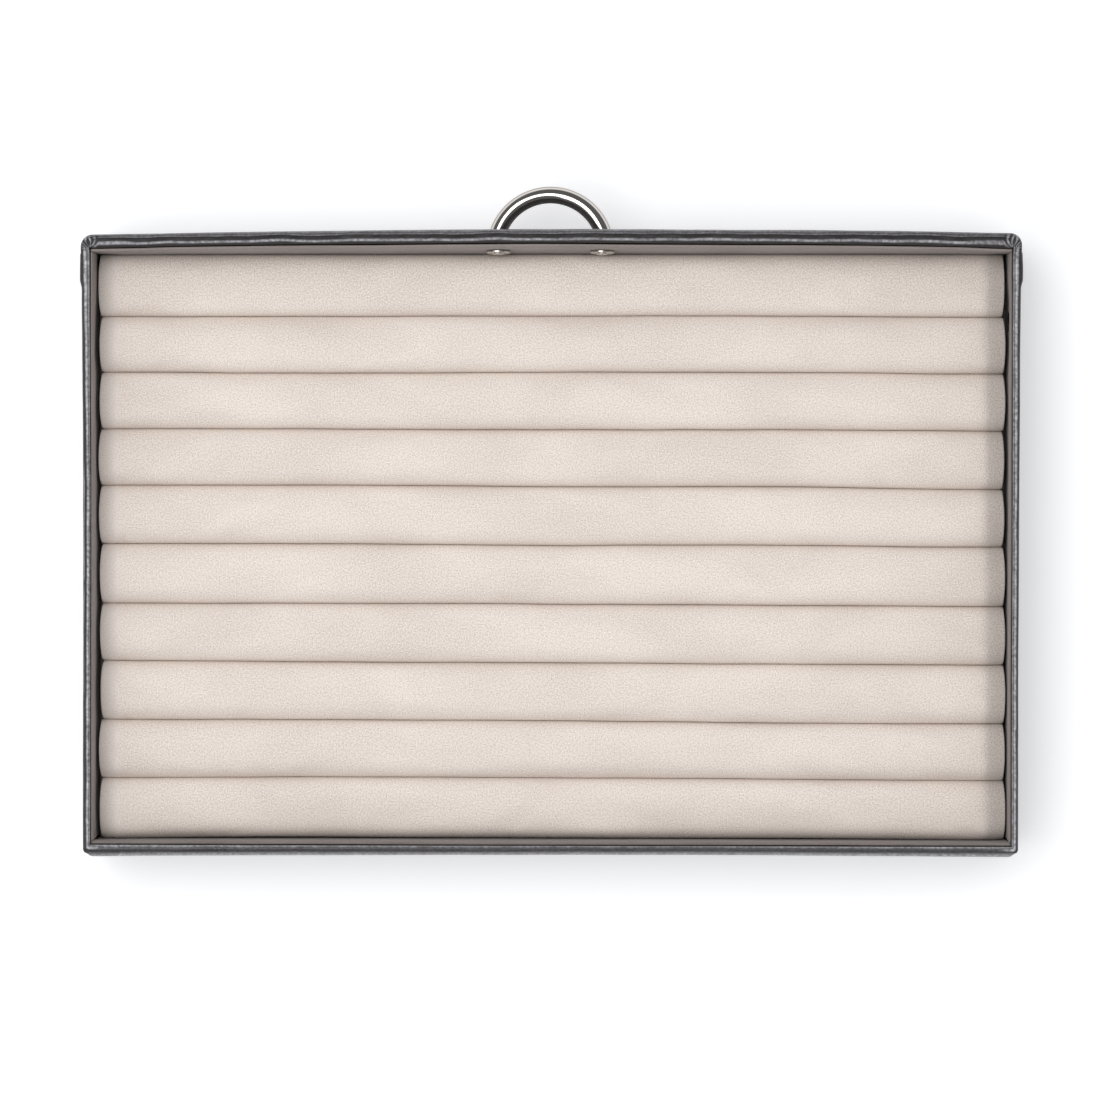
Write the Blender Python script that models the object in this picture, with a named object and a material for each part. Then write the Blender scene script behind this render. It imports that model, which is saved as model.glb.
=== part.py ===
"""Ring case: an open, leather-covered tray with ten padded ring rolls and a chrome bow pull.

Metres, +Z up. The case stands on z = 0 with the middle of its underside at the origin.
The front, with the pull, faces -Y, and the rolls run along X.
"""

import math

import bmesh
import bpy

# The whole case
CASE_LENGTH = 0.3400
CASE_DEPTH = 0.2246
CASE_HEIGHT = 0.0465
FRONT_BOW = 0.0016
FRONT_CORNER_RADIUS = 0.0033
BACK_CORNER_RADIUS = 0.0014

# Room left between two pieces that lie against each other
FIT_GAP = 0.00025

# Sheet goods
LEATHER = 0.00045
UNDER_CLOTH = 0.0006
FLOOR_CLOTH = 0.0006
LONG_LINING = 0.0009
SHORT_LINING = 0.0005
ROLL_CLOTH = 0.0005

# Boards
BASE_BOARD = 0.0025
FRONT_BOARD = 0.0033
THIN_BOARD = 0.0011
PAD_BOARD = 0.0020

# How the leather goes over the rim, in behind the linings and under the base
RIM_OUTER_ROUND = 0.0010
RIM_INNER_ROUND = 0.0007
FOOT_ROUND = 0.0008
TURN_IN = 0.0100
TURN_UNDER = 0.0120
UNDER_CLOTH_INSET = 0.0030
LINING_DROP = 0.0015

# The front leather's ends, and the side leather that laps them
FLAP_REACH = 0.0178
LAP_START = 0.0073
LAP_RISE = 0.0006
LAP_SLANT_START = 0.0183
LAP_SLANT = 0.0017

# Ring rolls
ROLL_COUNT = 10
ROLL_HEIGHT = 0.0201
ROLL_CROWN = 0.0085
ROLL_SPACE = 0.0003
ROLL_BLOCK_FRONT_ROOM = 0.0007
ROLL_BLOCK_BACK_ROOM = 0.0004
ROLL_END_ROOM = 0.00075
ROLL_END_ROUND = 0.0055
ROLL_END_DROP = 0.0042
ROLL_END_DRAW = 0.0009
PAD_BOARD_INSET = 0.0006
CROWN_ROUNDNESS = 2.5

# Bow pull with its screws and washers
BOW_HEIGHT = 0.0305
BOW_RADIUS = 0.0203
BOW_BAR = 0.0061
BOW_CENTRE_INSET = 0.0070
SCREW_SPACING = 0.0380
SCREW_SHANK = 0.0030
SCREW_HEAD = 0.0050
SCREW_HEAD_HEIGHT = 0.0009
SCREW_RECESS_LENGTH = 0.0027
SCREW_RECESS_WIDTH = 0.0006
SCREW_RECESS_DEPTH = 0.0005
SCREW_BITE = 0.0015
WASHER_WIDTH = 0.0090
WASHER_THICKNESS = 0.0008
WASHER_CHAMFER = 0.00015

# How finely curves are divided
CORNER_STEPS = 3
RIM_INNER_STEPS = 2
ROLL_STEPS = 10
BOW_STEPS = 26
BAR_SIDES = 16
TURNED_SIDES = 24
WALL_STEPS = 16
SMOOTH_ANGLE = 40

# How far a cutter runs past what it cuts, and how near two points count as one
CUT_OVERRUN = 0.0010
SAME_PLACE = 0.00002

# Heights of the stacked layers, from the underside up
LEATHER_FOOT = UNDER_CLOTH + FIT_GAP
BASE_BOTTOM = LEATHER_FOOT + LEATHER + FIT_GAP
BASE_TOP = BASE_BOTTOM + BASE_BOARD
WALL_FOOT = BASE_TOP + FIT_GAP
FLOOR_TOP = WALL_FOOT + FLOOR_CLOTH
PAD_BOTTOM = FLOOR_TOP + FIT_GAP
PAD_TOP = PAD_BOTTOM + PAD_BOARD
ROLL_FOOT = PAD_TOP + FIT_GAP
BOARD_TOP = CASE_HEIGHT - LEATHER - FIT_GAP
LINING_TOP = CASE_HEIGHT - LINING_DROP

# Insets from the outer face of the leather
SKIN = LEATHER + FIT_GAP
FRONT_RIM = SKIN + FRONT_BOARD + SKIN
THIN_RIM = SKIN + THIN_BOARD + SKIN
FRONT_FACE_INSET = FRONT_RIM + FIT_GAP + LONG_LINING
BACK_FACE_INSET = THIN_RIM + FIT_GAP + LONG_LINING
SIDE_FACE_INSET = THIN_RIM + FIT_GAP + SHORT_LINING

# Planes of the leather and of the room inside the linings
HALF_LENGTH = CASE_LENGTH / 2
HALF_DEPTH = CASE_DEPTH / 2
ROOM_HALF_LENGTH = HALF_LENGTH - SIDE_FACE_INSET
ROOM_FRONT = FRONT_FACE_INSET - HALF_DEPTH
ROOM_BACK = HALF_DEPTH - BACK_FACE_INSET

# The block of rolls
BLOCK_FRONT = ROOM_FRONT + ROLL_BLOCK_FRONT_ROOM
BLOCK_BACK = ROOM_BACK - ROLL_BLOCK_BACK_ROOM
ROLL_PITCH = (BLOCK_BACK - BLOCK_FRONT) / ROLL_COUNT
ROLL_WIDTH = ROLL_PITCH - ROLL_SPACE
ROLL_LENGTH = 2 * (ROOM_HALF_LENGTH - ROLL_END_ROOM)

SCREW_HOLE = SCREW_SHANK + 2 * FIT_GAP


def clear_scene():
    """Remove the objects that a new file opens with."""
    for old in list(bpy.data.objects):
        bpy.data.objects.remove(old, do_unlink=True)


def make_material(name, colour, roughness, metallic=0.0):
    material = bpy.data.materials.new(name)
    material.use_nodes = True
    shader = material.node_tree.nodes["Principled BSDF"]
    shader.inputs["Base Color"].default_value = (*colour, 1.0)
    shader.inputs["Roughness"].default_value = roughness
    shader.inputs["Metallic"].default_value = metallic
    return material


def add_object(name, bm, material):
    """Turn a bmesh into a named object with its own copy of a material."""
    mesh = bpy.data.meshes.new(name)
    bm.to_mesh(mesh)
    bm.free()
    mesh.shade_smooth()
    mesh.set_sharp_from_angle(angle=math.radians(SMOOTH_ANGLE))
    own_material = material.copy()
    own_material.name = name
    mesh.materials.append(own_material)
    obj = bpy.data.objects.new(name, mesh)
    bpy.context.scene.collection.objects.link(obj)
    return obj


def add_cylinder_cutter(name, diameter, length, place):
    """A guide cylinder along Y that cuts a hole and is no part of the case."""
    bm = bmesh.new()
    bmesh.ops.create_cone(
        bm, cap_ends=True, segments=TURNED_SIDES,
        radius1=diameter / 2, radius2=diameter / 2, depth=length,
    )
    mesh = bpy.data.meshes.new(name)
    bm.to_mesh(mesh)
    bm.free()
    cutter = bpy.data.objects.new(name, mesh)
    cutter.location = place
    cutter.rotation_euler = (math.radians(90), 0, 0)
    cutter.hide_render = True
    cutter.display_type = "WIRE"
    bpy.context.scene.collection.objects.link(cutter)
    return cutter


def cut(obj, cutter):
    modifier = obj.modifiers.new(cutter.name, "BOOLEAN")
    modifier.operation = "DIFFERENCE"
    modifier.solver = "EXACT"
    modifier.object = cutter


def bow_at(x):
    """How far the front wall stands forward at x: nothing at its corners, most in the middle."""
    reach = HALF_LENGTH - FRONT_CORNER_RADIUS
    return FRONT_BOW * max(1 - (x / reach) ** 2, 0)


def corner_point(side, end, turn, inset):
    """A point at a corner of the case, on the line that lies inset inside the leather.

    side and end are the signs of the corner's X and Y. turn is the angle from the corner's
    diagonal, counterclockwise, in degrees from -45 to 45.
    """
    radius = FRONT_CORNER_RADIUS if end < 0 else BACK_CORNER_RADIUS
    arc = max(radius - inset, 0)
    beyond = max(inset - radius, 0)
    angle = math.atan2(end, side) + math.radians(turn)
    x = side * (HALF_LENGTH - radius - beyond) + arc * math.cos(angle)
    y = end * (HALF_DEPTH - radius - beyond) + arc * math.sin(angle)
    return x, y


def split_point(side, turn, inset, way):
    """A corner_point of a front corner that keeps clear of the split on the corner's diagonal.

    The front leather and the body leather meet there in a mitre. way is 1 for the leather that
    lies counterclockwise of the diagonal and -1 for the other.
    """
    arc = max(FRONT_CORNER_RADIUS - inset, 0)
    clear = FIT_GAP / 2
    if arc * math.sin(math.radians(abs(turn))) >= clear:
        return corner_point(side, -1, turn, inset)
    if arc * math.sin(math.radians(45)) > clear:
        return corner_point(side, -1, way * math.degrees(math.asin(clear / arc)), inset)
    x, y = corner_point(side, -1, way * 45, inset)
    slide = clear / math.sin(math.radians(45)) - arc
    if way == side:
        return x, y + slide
    return x - side * slide, y


def beside_split(row, own_rim, other_rim):
    """How far from the crossing wall's outer face a row's straight stretch can start.

    The rims differ in width, so on the inner side the mitre turns about the rims' inner corner.
    """
    inset, _, _, part = row
    across = inset - own_rim + other_rim if part == "inner" else inset
    start = across + FIT_GAP / 2 / math.sin(math.radians(45))
    return start if part == "inner" else max(start, FRONT_CORNER_RADIUS)


def corner_turns():
    return [45 * step / CORNER_STEPS for step in range(-CORNER_STEPS, CORNER_STEPS + 1)]


def front_stations():
    """X places along the front wall between its corners."""
    reach = HALF_LENGTH - FRONT_CORNER_RADIUS
    return [reach * (2 * step / WALL_STEPS - 1) for step in range(WALL_STEPS + 1)]


def front_line(inset):
    """The front wall's line, left to right, with both its rounded corners."""
    points = [corner_point(-1, -1, turn, inset) for turn in corner_turns()]
    points += [(x, inset - HALF_DEPTH - bow_at(x)) for x in front_stations()[1:-1]]
    points += [corner_point(1, -1, turn, inset) for turn in corner_turns()]
    return points


def back_line(inset):
    """The back wall's line, right to left, with both its rounded corners."""
    points = [corner_point(1, 1, turn, inset) for turn in corner_turns()]
    points += [corner_point(-1, 1, turn, inset) for turn in corner_turns()]
    return points


def straight_front_line(inset, half_length):
    """A line inset inside the front leather that follows its bow, left to right."""
    xs = [half_length * (2 * step / WALL_STEPS - 1) for step in range(WALL_STEPS + 1)]
    return [(x, inset - HALF_DEPTH - bow_at(x)) for x in xs]


def without_repeats(points):
    kept = []
    for point in points:
        if not kept or math.dist(point, kept[-1]) > SAME_PLACE:
            kept.append(point)
    return kept


def plate(name, outline, bottom, top, material):
    """A flat piece: an outline in plan, counterclockwise, between two heights."""
    bm = bmesh.new()
    corners = [bm.verts.new((x, y, bottom)) for x, y in without_repeats(outline)]
    face = bm.faces.new(corners)
    lifted = bmesh.ops.extrude_face_region(bm, geom=[face])
    raised = [item for item in lifted["geom"] if isinstance(item, bmesh.types.BMVert)]
    bmesh.ops.translate(bm, verts=raised, vec=(0, 0, top - bottom))
    bmesh.ops.recalc_face_normals(bm, faces=bm.faces)
    return add_object(name, bm, material)


def rectangle(left, right, front, back):
    return [(left, front), (right, front), (right, back), (left, back)]


def arc_points(centre, radius, start, end, steps):
    """Points on an arc in an upright section, as (inset, height), angles in degrees."""
    points = []
    for step in range(steps + 1):
        angle = math.radians(start + (end - start) * step / steps)
        points.append((centre[0] + radius * math.cos(angle), centre[1] + radius * math.sin(angle)))
    return points


def leather_section(rim_width):
    """The leather's outer face in section: under the base, up, over the rim and down inside.

    Each row is (inset, height, lift share, part). The lift share says how much of the lap's
    thickness the row takes up. The part is foot, wall, rim or inner: a flap has wall rows only.
    """
    rows = [(TURN_UNDER, LEATHER_FOOT, 0, "foot")]
    foot_lift_shares = (0, 0.5, 1)
    foot_centre = (FOOT_ROUND, LEATHER_FOOT + FOOT_ROUND)
    foot = arc_points(foot_centre, FOOT_ROUND, 270, 180, len(foot_lift_shares) - 1)
    rows += [(*point, lift, "foot") for point, lift in zip(foot, foot_lift_shares)]
    rows.append((0, LEATHER_FOOT + FOOT_ROUND + FIT_GAP, 1, "wall"))
    rows.append((0, CASE_HEIGHT - RIM_OUTER_ROUND - FIT_GAP, 1, "wall"))
    outer_lift_shares = (1, 0.6, 0.2, 0)
    outer_centre = (RIM_OUTER_ROUND, CASE_HEIGHT - RIM_OUTER_ROUND)
    outer = arc_points(outer_centre, RIM_OUTER_ROUND, 180, 90, len(outer_lift_shares) - 1)
    rows += [(*point, lift, "rim") for point, lift in zip(outer, outer_lift_shares)]
    inner_centre = (rim_width - RIM_INNER_ROUND, CASE_HEIGHT - RIM_INNER_ROUND)
    inner = arc_points(inner_centre, RIM_INNER_ROUND, 90, 0, RIM_INNER_STEPS)
    rows += [(*point, 0, "inner") for point in inner]
    rows.append((rim_width, CASE_HEIGHT - TURN_IN, 0, "inner"))
    return rows


def leather_sheet(name, columns, present, material):
    """A leather piece of even thickness over a grid of points.

    columns holds one list of points per station. present(station, row) says whether the patch
    between that station and row and the next ones is there.
    """
    bm = bmesh.new()
    grid = [[bm.verts.new(point) for point in column] for column in columns]
    for station in range(len(columns) - 1):
        for row in range(len(columns[0]) - 1):
            if present(station, row):
                bm.faces.new((
                    grid[station][row], grid[station + 1][row],
                    grid[station + 1][row + 1], grid[station][row + 1],
                ))
    bmesh.ops.delete(bm, geom=[vert for vert in bm.verts if not vert.link_faces], context="VERTS")
    bmesh.ops.remove_doubles(bm, verts=bm.verts, dist=SAME_PLACE)
    obj = add_object(name, bm, material)
    thicken = obj.modifiers.new("Leather thickness", "SOLIDIFY")
    thicken.thickness = LEATHER
    thicken.offset = -1
    thicken.use_even_offset = True
    return obj


def make_front_cover(material):
    """Leather on the front wall, over its rim, with a flap round each front corner."""
    section = leather_section(FRONT_RIM)
    stations = []
    for depth in (FLAP_REACH, LAP_START):
        stations.append(("side", -1, depth))
    stations += [("corner", -1, turn) for turn in corner_turns()]
    stations += [("front", 0, x) for x in front_stations()[1:-1]]
    stations += [("corner", 1, turn) for turn in corner_turns()]
    for depth in (LAP_START, FLAP_REACH):
        stations.append(("side", 1, depth))

    def point(station, row):
        kind, side, value = station
        inset, height, _, part = row
        reach = HALF_LENGTH - beside_split(row, FRONT_RIM, THIN_RIM)
        if kind == "side":
            return side * (HALF_LENGTH - inset), value - HALF_DEPTH, height
        if kind == "front":
            return min(max(value, -reach), reach), inset - HALF_DEPTH - bow_at(value), height
        if part == "wall":
            return *corner_point(side, -1, value, inset), height
        if part == "inner":
            return side * reach, inset - HALF_DEPTH, height
        return *split_point(side, value, inset, -side), height

    def present(station, row):
        if section[row][3] == section[row + 1][3] == "wall":
            return True
        for kind, side, value in stations[station:station + 2]:
            if kind == "side" or (kind == "corner" and value * side > 0):
                return False
        return True

    columns = [[point(station, row) for row in section] for station in stations]
    return leather_sheet("front_cover", columns, present, material)


def make_body_cover(material):
    """Leather on the back and side walls, over their rims, lapping the front leather's flaps."""
    section = leather_section(THIN_RIM)
    lap = LEATHER + FIT_GAP
    side_places = (
        (LAP_START - LAP_RISE, 0),
        (LAP_START, lap),
        (LAP_SLANT_START, lap),
        (LAP_SLANT_START + LAP_SLANT, 0),
    )
    front_turns = [turn for turn in corner_turns() if turn >= 0]
    stations = [("split", 1, turn, 0) for turn in front_turns]
    stations += [("side", 1, depth, lift) for depth, lift in side_places]
    stations += [("corner", 1, turn, 0) for turn in corner_turns()]
    stations += [("corner", -1, turn, 0) for turn in corner_turns()]
    stations += [("side", -1, depth, lift) for depth, lift in reversed(side_places)]
    stations += [("split", -1, -turn, 0) for turn in reversed(front_turns)]

    def point(station, row):
        kind, side, value, lift = station
        inset, height, lift_share, part = row
        start = beside_split(row, THIN_RIM, FRONT_RIM)
        if kind == "corner":
            return *corner_point(side, 1, value, inset), height
        if kind == "split" and part != "inner":
            return *split_point(side, value, inset, side), height
        depth = start if kind == "split" else max(value, start)
        return side * (HALF_LENGTH - inset + lift * lift_share), depth - HALF_DEPTH, height

    def present(station, row):
        if "wall" not in (section[row][3], section[row + 1][3]):
            return True
        for kind, _, value, _ in stations[station:station + 2]:
            if kind == "split" or (kind == "side" and value < LAP_START):
                return False
        return True

    columns = [[point(station, row) for row in section] for station in stations]
    return leather_sheet("body_cover", columns, present, material)


def make_boards(board):
    plate("base_board", front_line(SKIN) + back_line(SKIN), BASE_BOTTOM, BASE_TOP, board)
    inner_front = straight_front_line(SKIN + FRONT_BOARD, HALF_LENGTH - SKIN)
    front_board = plate(
        "front_board", front_line(SKIN) + inner_front[::-1], WALL_FOOT, BOARD_TOP, board)
    side_outer = HALF_LENGTH - SKIN
    side_inner = side_outer - THIN_BOARD
    back_outer = HALF_DEPTH - SKIN
    back_inner = back_outer - THIN_BOARD
    back_outline = back_line(SKIN) + [(-side_outer, back_inner), (side_outer, back_inner)]
    plate("back_board", back_outline, WALL_FOOT, BOARD_TOP, board)
    front_end = SKIN + FRONT_BOARD + FIT_GAP - HALF_DEPTH
    back_end = back_inner - FIT_GAP
    left = rectangle(-side_outer, -side_inner, front_end, back_end)
    right = rectangle(side_inner, side_outer, front_end, back_end)
    plate("left_board", left, WALL_FOOT, BOARD_TOP, board)
    plate("right_board", right, WALL_FOOT, BOARD_TOP, board)
    return front_board


def make_linings(lining):
    """Cloth-covered cards: the long ones run wall to wall, and the short ones stand between."""
    long_half = HALF_LENGTH - THIN_RIM - FIT_GAP
    front_outer = straight_front_line(FRONT_RIM + FIT_GAP, long_half)
    front_inner = straight_front_line(FRONT_FACE_INSET, long_half)
    front_lining = plate(
        "front_lining", front_outer + front_inner[::-1], WALL_FOOT, LINING_TOP, lining)
    back_outer = HALF_DEPTH - THIN_RIM - FIT_GAP
    back = rectangle(-long_half, long_half, ROOM_BACK, back_outer)
    plate("back_lining", back, WALL_FOOT, LINING_TOP, lining)
    short_front = ROOM_FRONT + FIT_GAP
    short_back = ROOM_BACK - FIT_GAP
    left = rectangle(-long_half, -ROOM_HALF_LENGTH, short_front, short_back)
    right = rectangle(ROOM_HALF_LENGTH, long_half, short_front, short_back)
    plate("left_lining", left, WALL_FOOT, LINING_TOP, lining)
    plate("right_lining", right, WALL_FOOT, LINING_TOP, lining)
    floor_half = ROOM_HALF_LENGTH - FIT_GAP
    floor = rectangle(-floor_half, floor_half, short_front, short_back)
    plate("floor_lining", floor, WALL_FOOT, FLOOR_TOP, lining)
    return front_lining


def make_underside(cloth):
    outline = front_line(UNDER_CLOTH_INSET) + back_line(UNDER_CLOTH_INSET)
    plate("base_cloth", outline, 0, UNDER_CLOTH, cloth)


def roll_section(inset, drawn, dropped):
    """A roll in section, front foot to back foot, as (y from its middle, z).

    inset is how far the line lies inside the cloth's outer face. drawn and dropped are what a
    section near a roll's end loses at each side and at its crown.
    """
    half = ROLL_WIDTH / 2 - inset - drawn
    crown = ROLL_CROWN - dropped / 2
    shoulder = ROLL_FOOT + ROLL_HEIGHT - inset - dropped - crown
    power = 2 / CROWN_ROUNDNESS
    points = [(-half, ROLL_FOOT)]
    for step in range(ROLL_STEPS + 1):
        angle = math.pi * (1 - step / ROLL_STEPS)
        across = math.copysign(abs(math.cos(angle)) ** power, math.cos(angle))
        points.append((half * across, shoulder + crown * abs(math.sin(angle)) ** power))
    points.append((half, ROLL_FOOT))
    return points


def roll_stations(inset):
    """X places along a roll with how much of the end's rounding each has: 1 at the tip."""
    tip = ROLL_LENGTH / 2 - inset
    end_shares = (0, 0.12, 0.4, 1)
    left = []
    for share in end_shares:
        rounding = 1 - math.sqrt(1 - (1 - share) ** 2)
        left.append((ROLL_END_ROUND * share - tip, rounding))
    right = [(-x, rounding) for x, rounding in reversed(left)]
    return left + right


def make_roll(index, cloth, foam):
    """One ring roll: a foam bar and the cloth drawn over it, open underneath."""
    middle = BLOCK_FRONT + ROLL_PITCH * (index + 0.5)

    def columns(inset):
        made = []
        for x, rounding in roll_stations(inset):
            section = roll_section(inset, ROLL_END_DRAW * rounding, ROLL_END_DROP * rounding)
            made.append([(x, middle + y, z) for y, z in section])
        return made

    bm = bmesh.new()
    grid = [[bm.verts.new(point) for point in column] for column in columns(0)]
    for here, after in zip(grid, grid[1:]):
        for row in range(len(here) - 1):
            bm.faces.new((here[row], after[row], after[row + 1], here[row + 1]))
    bm.faces.new(grid[0])
    bm.faces.new(grid[-1][::-1])
    cover = add_object(f"ring_roll_{index + 1:02d}", bm, cloth)
    thicken = cover.modifiers.new("Cloth thickness", "SOLIDIFY")
    thicken.thickness = ROLL_CLOTH
    thicken.offset = -1
    thicken.use_even_offset = True

    bm = bmesh.new()
    grid = [[bm.verts.new(point) for point in column] for column in columns(ROLL_CLOTH + FIT_GAP)]
    for here, after in zip(grid, grid[1:]):
        for row in range(len(here)):
            following = (row + 1) % len(here)
            bm.faces.new((here[row], after[row], after[following], here[following]))
    bm.faces.new(grid[0])
    bm.faces.new(grid[-1][::-1])
    add_object(f"roll_foam_{index + 1:02d}", bm, foam)


def make_pad_board(board):
    half = ROLL_LENGTH / 2 - PAD_BOARD_INSET
    outline = rectangle(-half, half, BLOCK_FRONT + PAD_BOARD_INSET, BLOCK_BACK - PAD_BOARD_INSET)
    plate("pad_board", outline, PAD_BOTTOM, PAD_TOP, board)


def turned_bmesh(profile):
    """A solid of revolution about +Y from (radius, y) points. A radius of zero closes it."""
    bm = bmesh.new()
    rings = []
    for radius, y in profile:
        if radius == 0:
            rings.append([bm.verts.new((0, y, 0))])
            continue
        ring = []
        for side in range(TURNED_SIDES):
            angle = 2 * math.pi * side / TURNED_SIDES
            ring.append(bm.verts.new((radius * math.cos(angle), y, radius * math.sin(angle))))
        rings.append(ring)
    if profile[0][0] != 0:
        rings.append(rings[0])
    for here, after in zip(rings, rings[1:]):
        for side in range(TURNED_SIDES):
            beside = (side + 1) % TURNED_SIDES
            if len(here) == 1:
                bm.faces.new((here[0], after[beside], after[side]))
            elif len(after) == 1:
                bm.faces.new((here[side], here[beside], after[0]))
            else:
                bm.faces.new((here[side], here[beside], after[beside], after[side]))
    bmesh.ops.recalc_face_normals(bm, faces=bm.faces)
    return bm


def make_washer(name, place, steel):
    """A wide flat washer with a small chamfer, lying in the XZ plane."""
    outer = WASHER_WIDTH / 2
    bore = SCREW_HOLE / 2
    profile = [
        (bore, 0),
        (outer, 0),
        (outer, WASHER_THICKNESS - WASHER_CHAMFER),
        (outer - WASHER_CHAMFER, WASHER_THICKNESS),
        (bore, WASHER_THICKNESS),
    ]
    washer = add_object(name, turned_bmesh(profile), steel)
    washer.location = place


def make_screw(name, place, reach, steel):
    """A low pan-head screw with a cross recess. The head's seat is at its origin."""
    head = SCREW_HEAD / 2
    shank = SCREW_SHANK / 2
    head_shares = ((1, 0), (1, 0.35), (0.86, 0.72), (0.6, 0.93), (0, 1))
    profile = [(0, -reach), (shank, -reach), (shank, 0)]
    profile += [(head * wide, SCREW_HEAD_HEIGHT * high) for wide, high in head_shares]
    screw = add_object(name, turned_bmesh(profile), steel)
    screw.location = place
    recess = bmesh.new()
    long_half = SCREW_RECESS_LENGTH / 2
    thin_half = SCREW_RECESS_WIDTH / 2
    outline = [
        (thin_half, thin_half), (long_half, thin_half), (long_half, -thin_half),
        (thin_half, -thin_half), (thin_half, -long_half), (-thin_half, -long_half),
        (-thin_half, -thin_half), (-long_half, -thin_half), (-long_half, thin_half),
        (-thin_half, thin_half), (-thin_half, long_half), (thin_half, long_half),
    ]
    floor = SCREW_HEAD_HEIGHT - SCREW_RECESS_DEPTH
    face = recess.faces.new([recess.verts.new((x, floor, z)) for x, z in outline])
    raised = bmesh.ops.extrude_face_region(recess, geom=[face])["geom"]
    raised = [item for item in raised if isinstance(item, bmesh.types.BMVert)]
    bmesh.ops.translate(recess, verts=raised, vec=(0, SCREW_RECESS_DEPTH + CUT_OVERRUN, 0))
    bmesh.ops.recalc_face_normals(recess, faces=recess.faces)
    mesh = bpy.data.meshes.new(name + "_recess")
    recess.to_mesh(mesh)
    recess.free()
    cutter = bpy.data.objects.new(name + "_recess", mesh)
    cutter.location = place
    cutter.hide_render = True
    cutter.display_type = "WIRE"
    bpy.context.scene.collection.objects.link(cutter)
    cut(screw, cutter)


def make_bow(foot, chrome):
    """The pull: a round bar bent to a level arc, cut flat where both ends meet the leather."""
    centre = BOW_CENTRE_INSET - HALF_DEPTH - FRONT_BOW
    half_angle = math.acos((centre - foot) / BOW_RADIUS)
    bar = BOW_BAR / 2
    bm = bmesh.new()
    rings = []
    for step in range(BOW_STEPS + 1):
        angle = half_angle * (2 * step / BOW_STEPS - 1)
        ring = []
        for side in range(BAR_SIDES):
            around = 2 * math.pi * side / BAR_SIDES
            radius = BOW_RADIUS + bar * math.cos(around)
            x = radius * math.sin(angle)
            y = centre - radius * math.cos(angle)
            if step in (0, BOW_STEPS):
                x += (foot - y) * math.cos(angle) / math.sin(angle)
                y = foot
            ring.append(bm.verts.new((x, y, BOW_HEIGHT + bar * math.sin(around))))
        rings.append(ring)
    for here, after in zip(rings, rings[1:]):
        for side in range(BAR_SIDES):
            beside = (side + 1) % BAR_SIDES
            bm.faces.new((here[side], here[beside], after[beside], after[side]))
    bm.faces.new(rings[0])
    bm.faces.new(rings[-1])
    bmesh.ops.recalc_face_normals(bm, faces=bm.faces)
    return add_object("handle_bow", bm, chrome)


def make_pull(front_cover, front_board, front_lining, chrome, steel):
    """The bow with its screws and washers, and the holes that the screws pass through."""
    screw_x = SCREW_SPACING / 2
    outer_face = -HALF_DEPTH - bow_at(screw_x)
    inner_face = ROOM_FRONT - bow_at(screw_x)
    foot = outer_face - FIT_GAP
    bow = make_bow(foot, chrome)
    washer_seat = inner_face + FIT_GAP
    head_seat = washer_seat + WASHER_THICKNESS + FIT_GAP
    reach = head_seat - foot + SCREW_BITE
    hole_front = foot - SCREW_BITE - FIT_GAP
    hole_back = inner_face + CUT_OVERRUN
    for side, name in ((-1, "left"), (1, "right")):
        x = side * screw_x
        make_washer(f"washer_{name}", (x, washer_seat, BOW_HEIGHT), steel)
        make_screw(f"handle_screw_{name}", (x, head_seat, BOW_HEIGHT), reach, steel)
        hole = add_cylinder_cutter(
            f"screw_hole_{name}", SCREW_HOLE, hole_back - hole_front,
            (x, (hole_back + hole_front) / 2, BOW_HEIGHT))
        for piece in (front_cover, front_board, front_lining, bow):
            cut(piece, hole)


def main():
    clear_scene()
    leather = make_material("leather", (0.10, 0.095, 0.10), 0.5)
    board = make_material("board", (0.42, 0.38, 0.33), 0.9)
    lining = make_material("lining", (0.20, 0.17, 0.16), 0.95)
    suede = make_material("suede", (0.80, 0.73, 0.67), 0.95)
    foam = make_material("foam", (0.75, 0.74, 0.70), 0.9)
    under_cloth = make_material("under_cloth", (0.06, 0.055, 0.06), 0.9)
    chrome = make_material("chrome", (0.80, 0.80, 0.80), 0.08, 1.0)
    steel = make_material("steel", (0.72, 0.71, 0.68), 0.25, 1.0)

    front_board = make_boards(board)
    front_cover = make_front_cover(leather)
    make_body_cover(leather)
    front_lining = make_linings(lining)
    make_underside(under_cloth)
    make_pad_board(board)
    for index in range(ROLL_COUNT):
        make_roll(index, suede, foam)
    make_pull(front_cover, front_board, front_lining, chrome, steel)


main()
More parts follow.
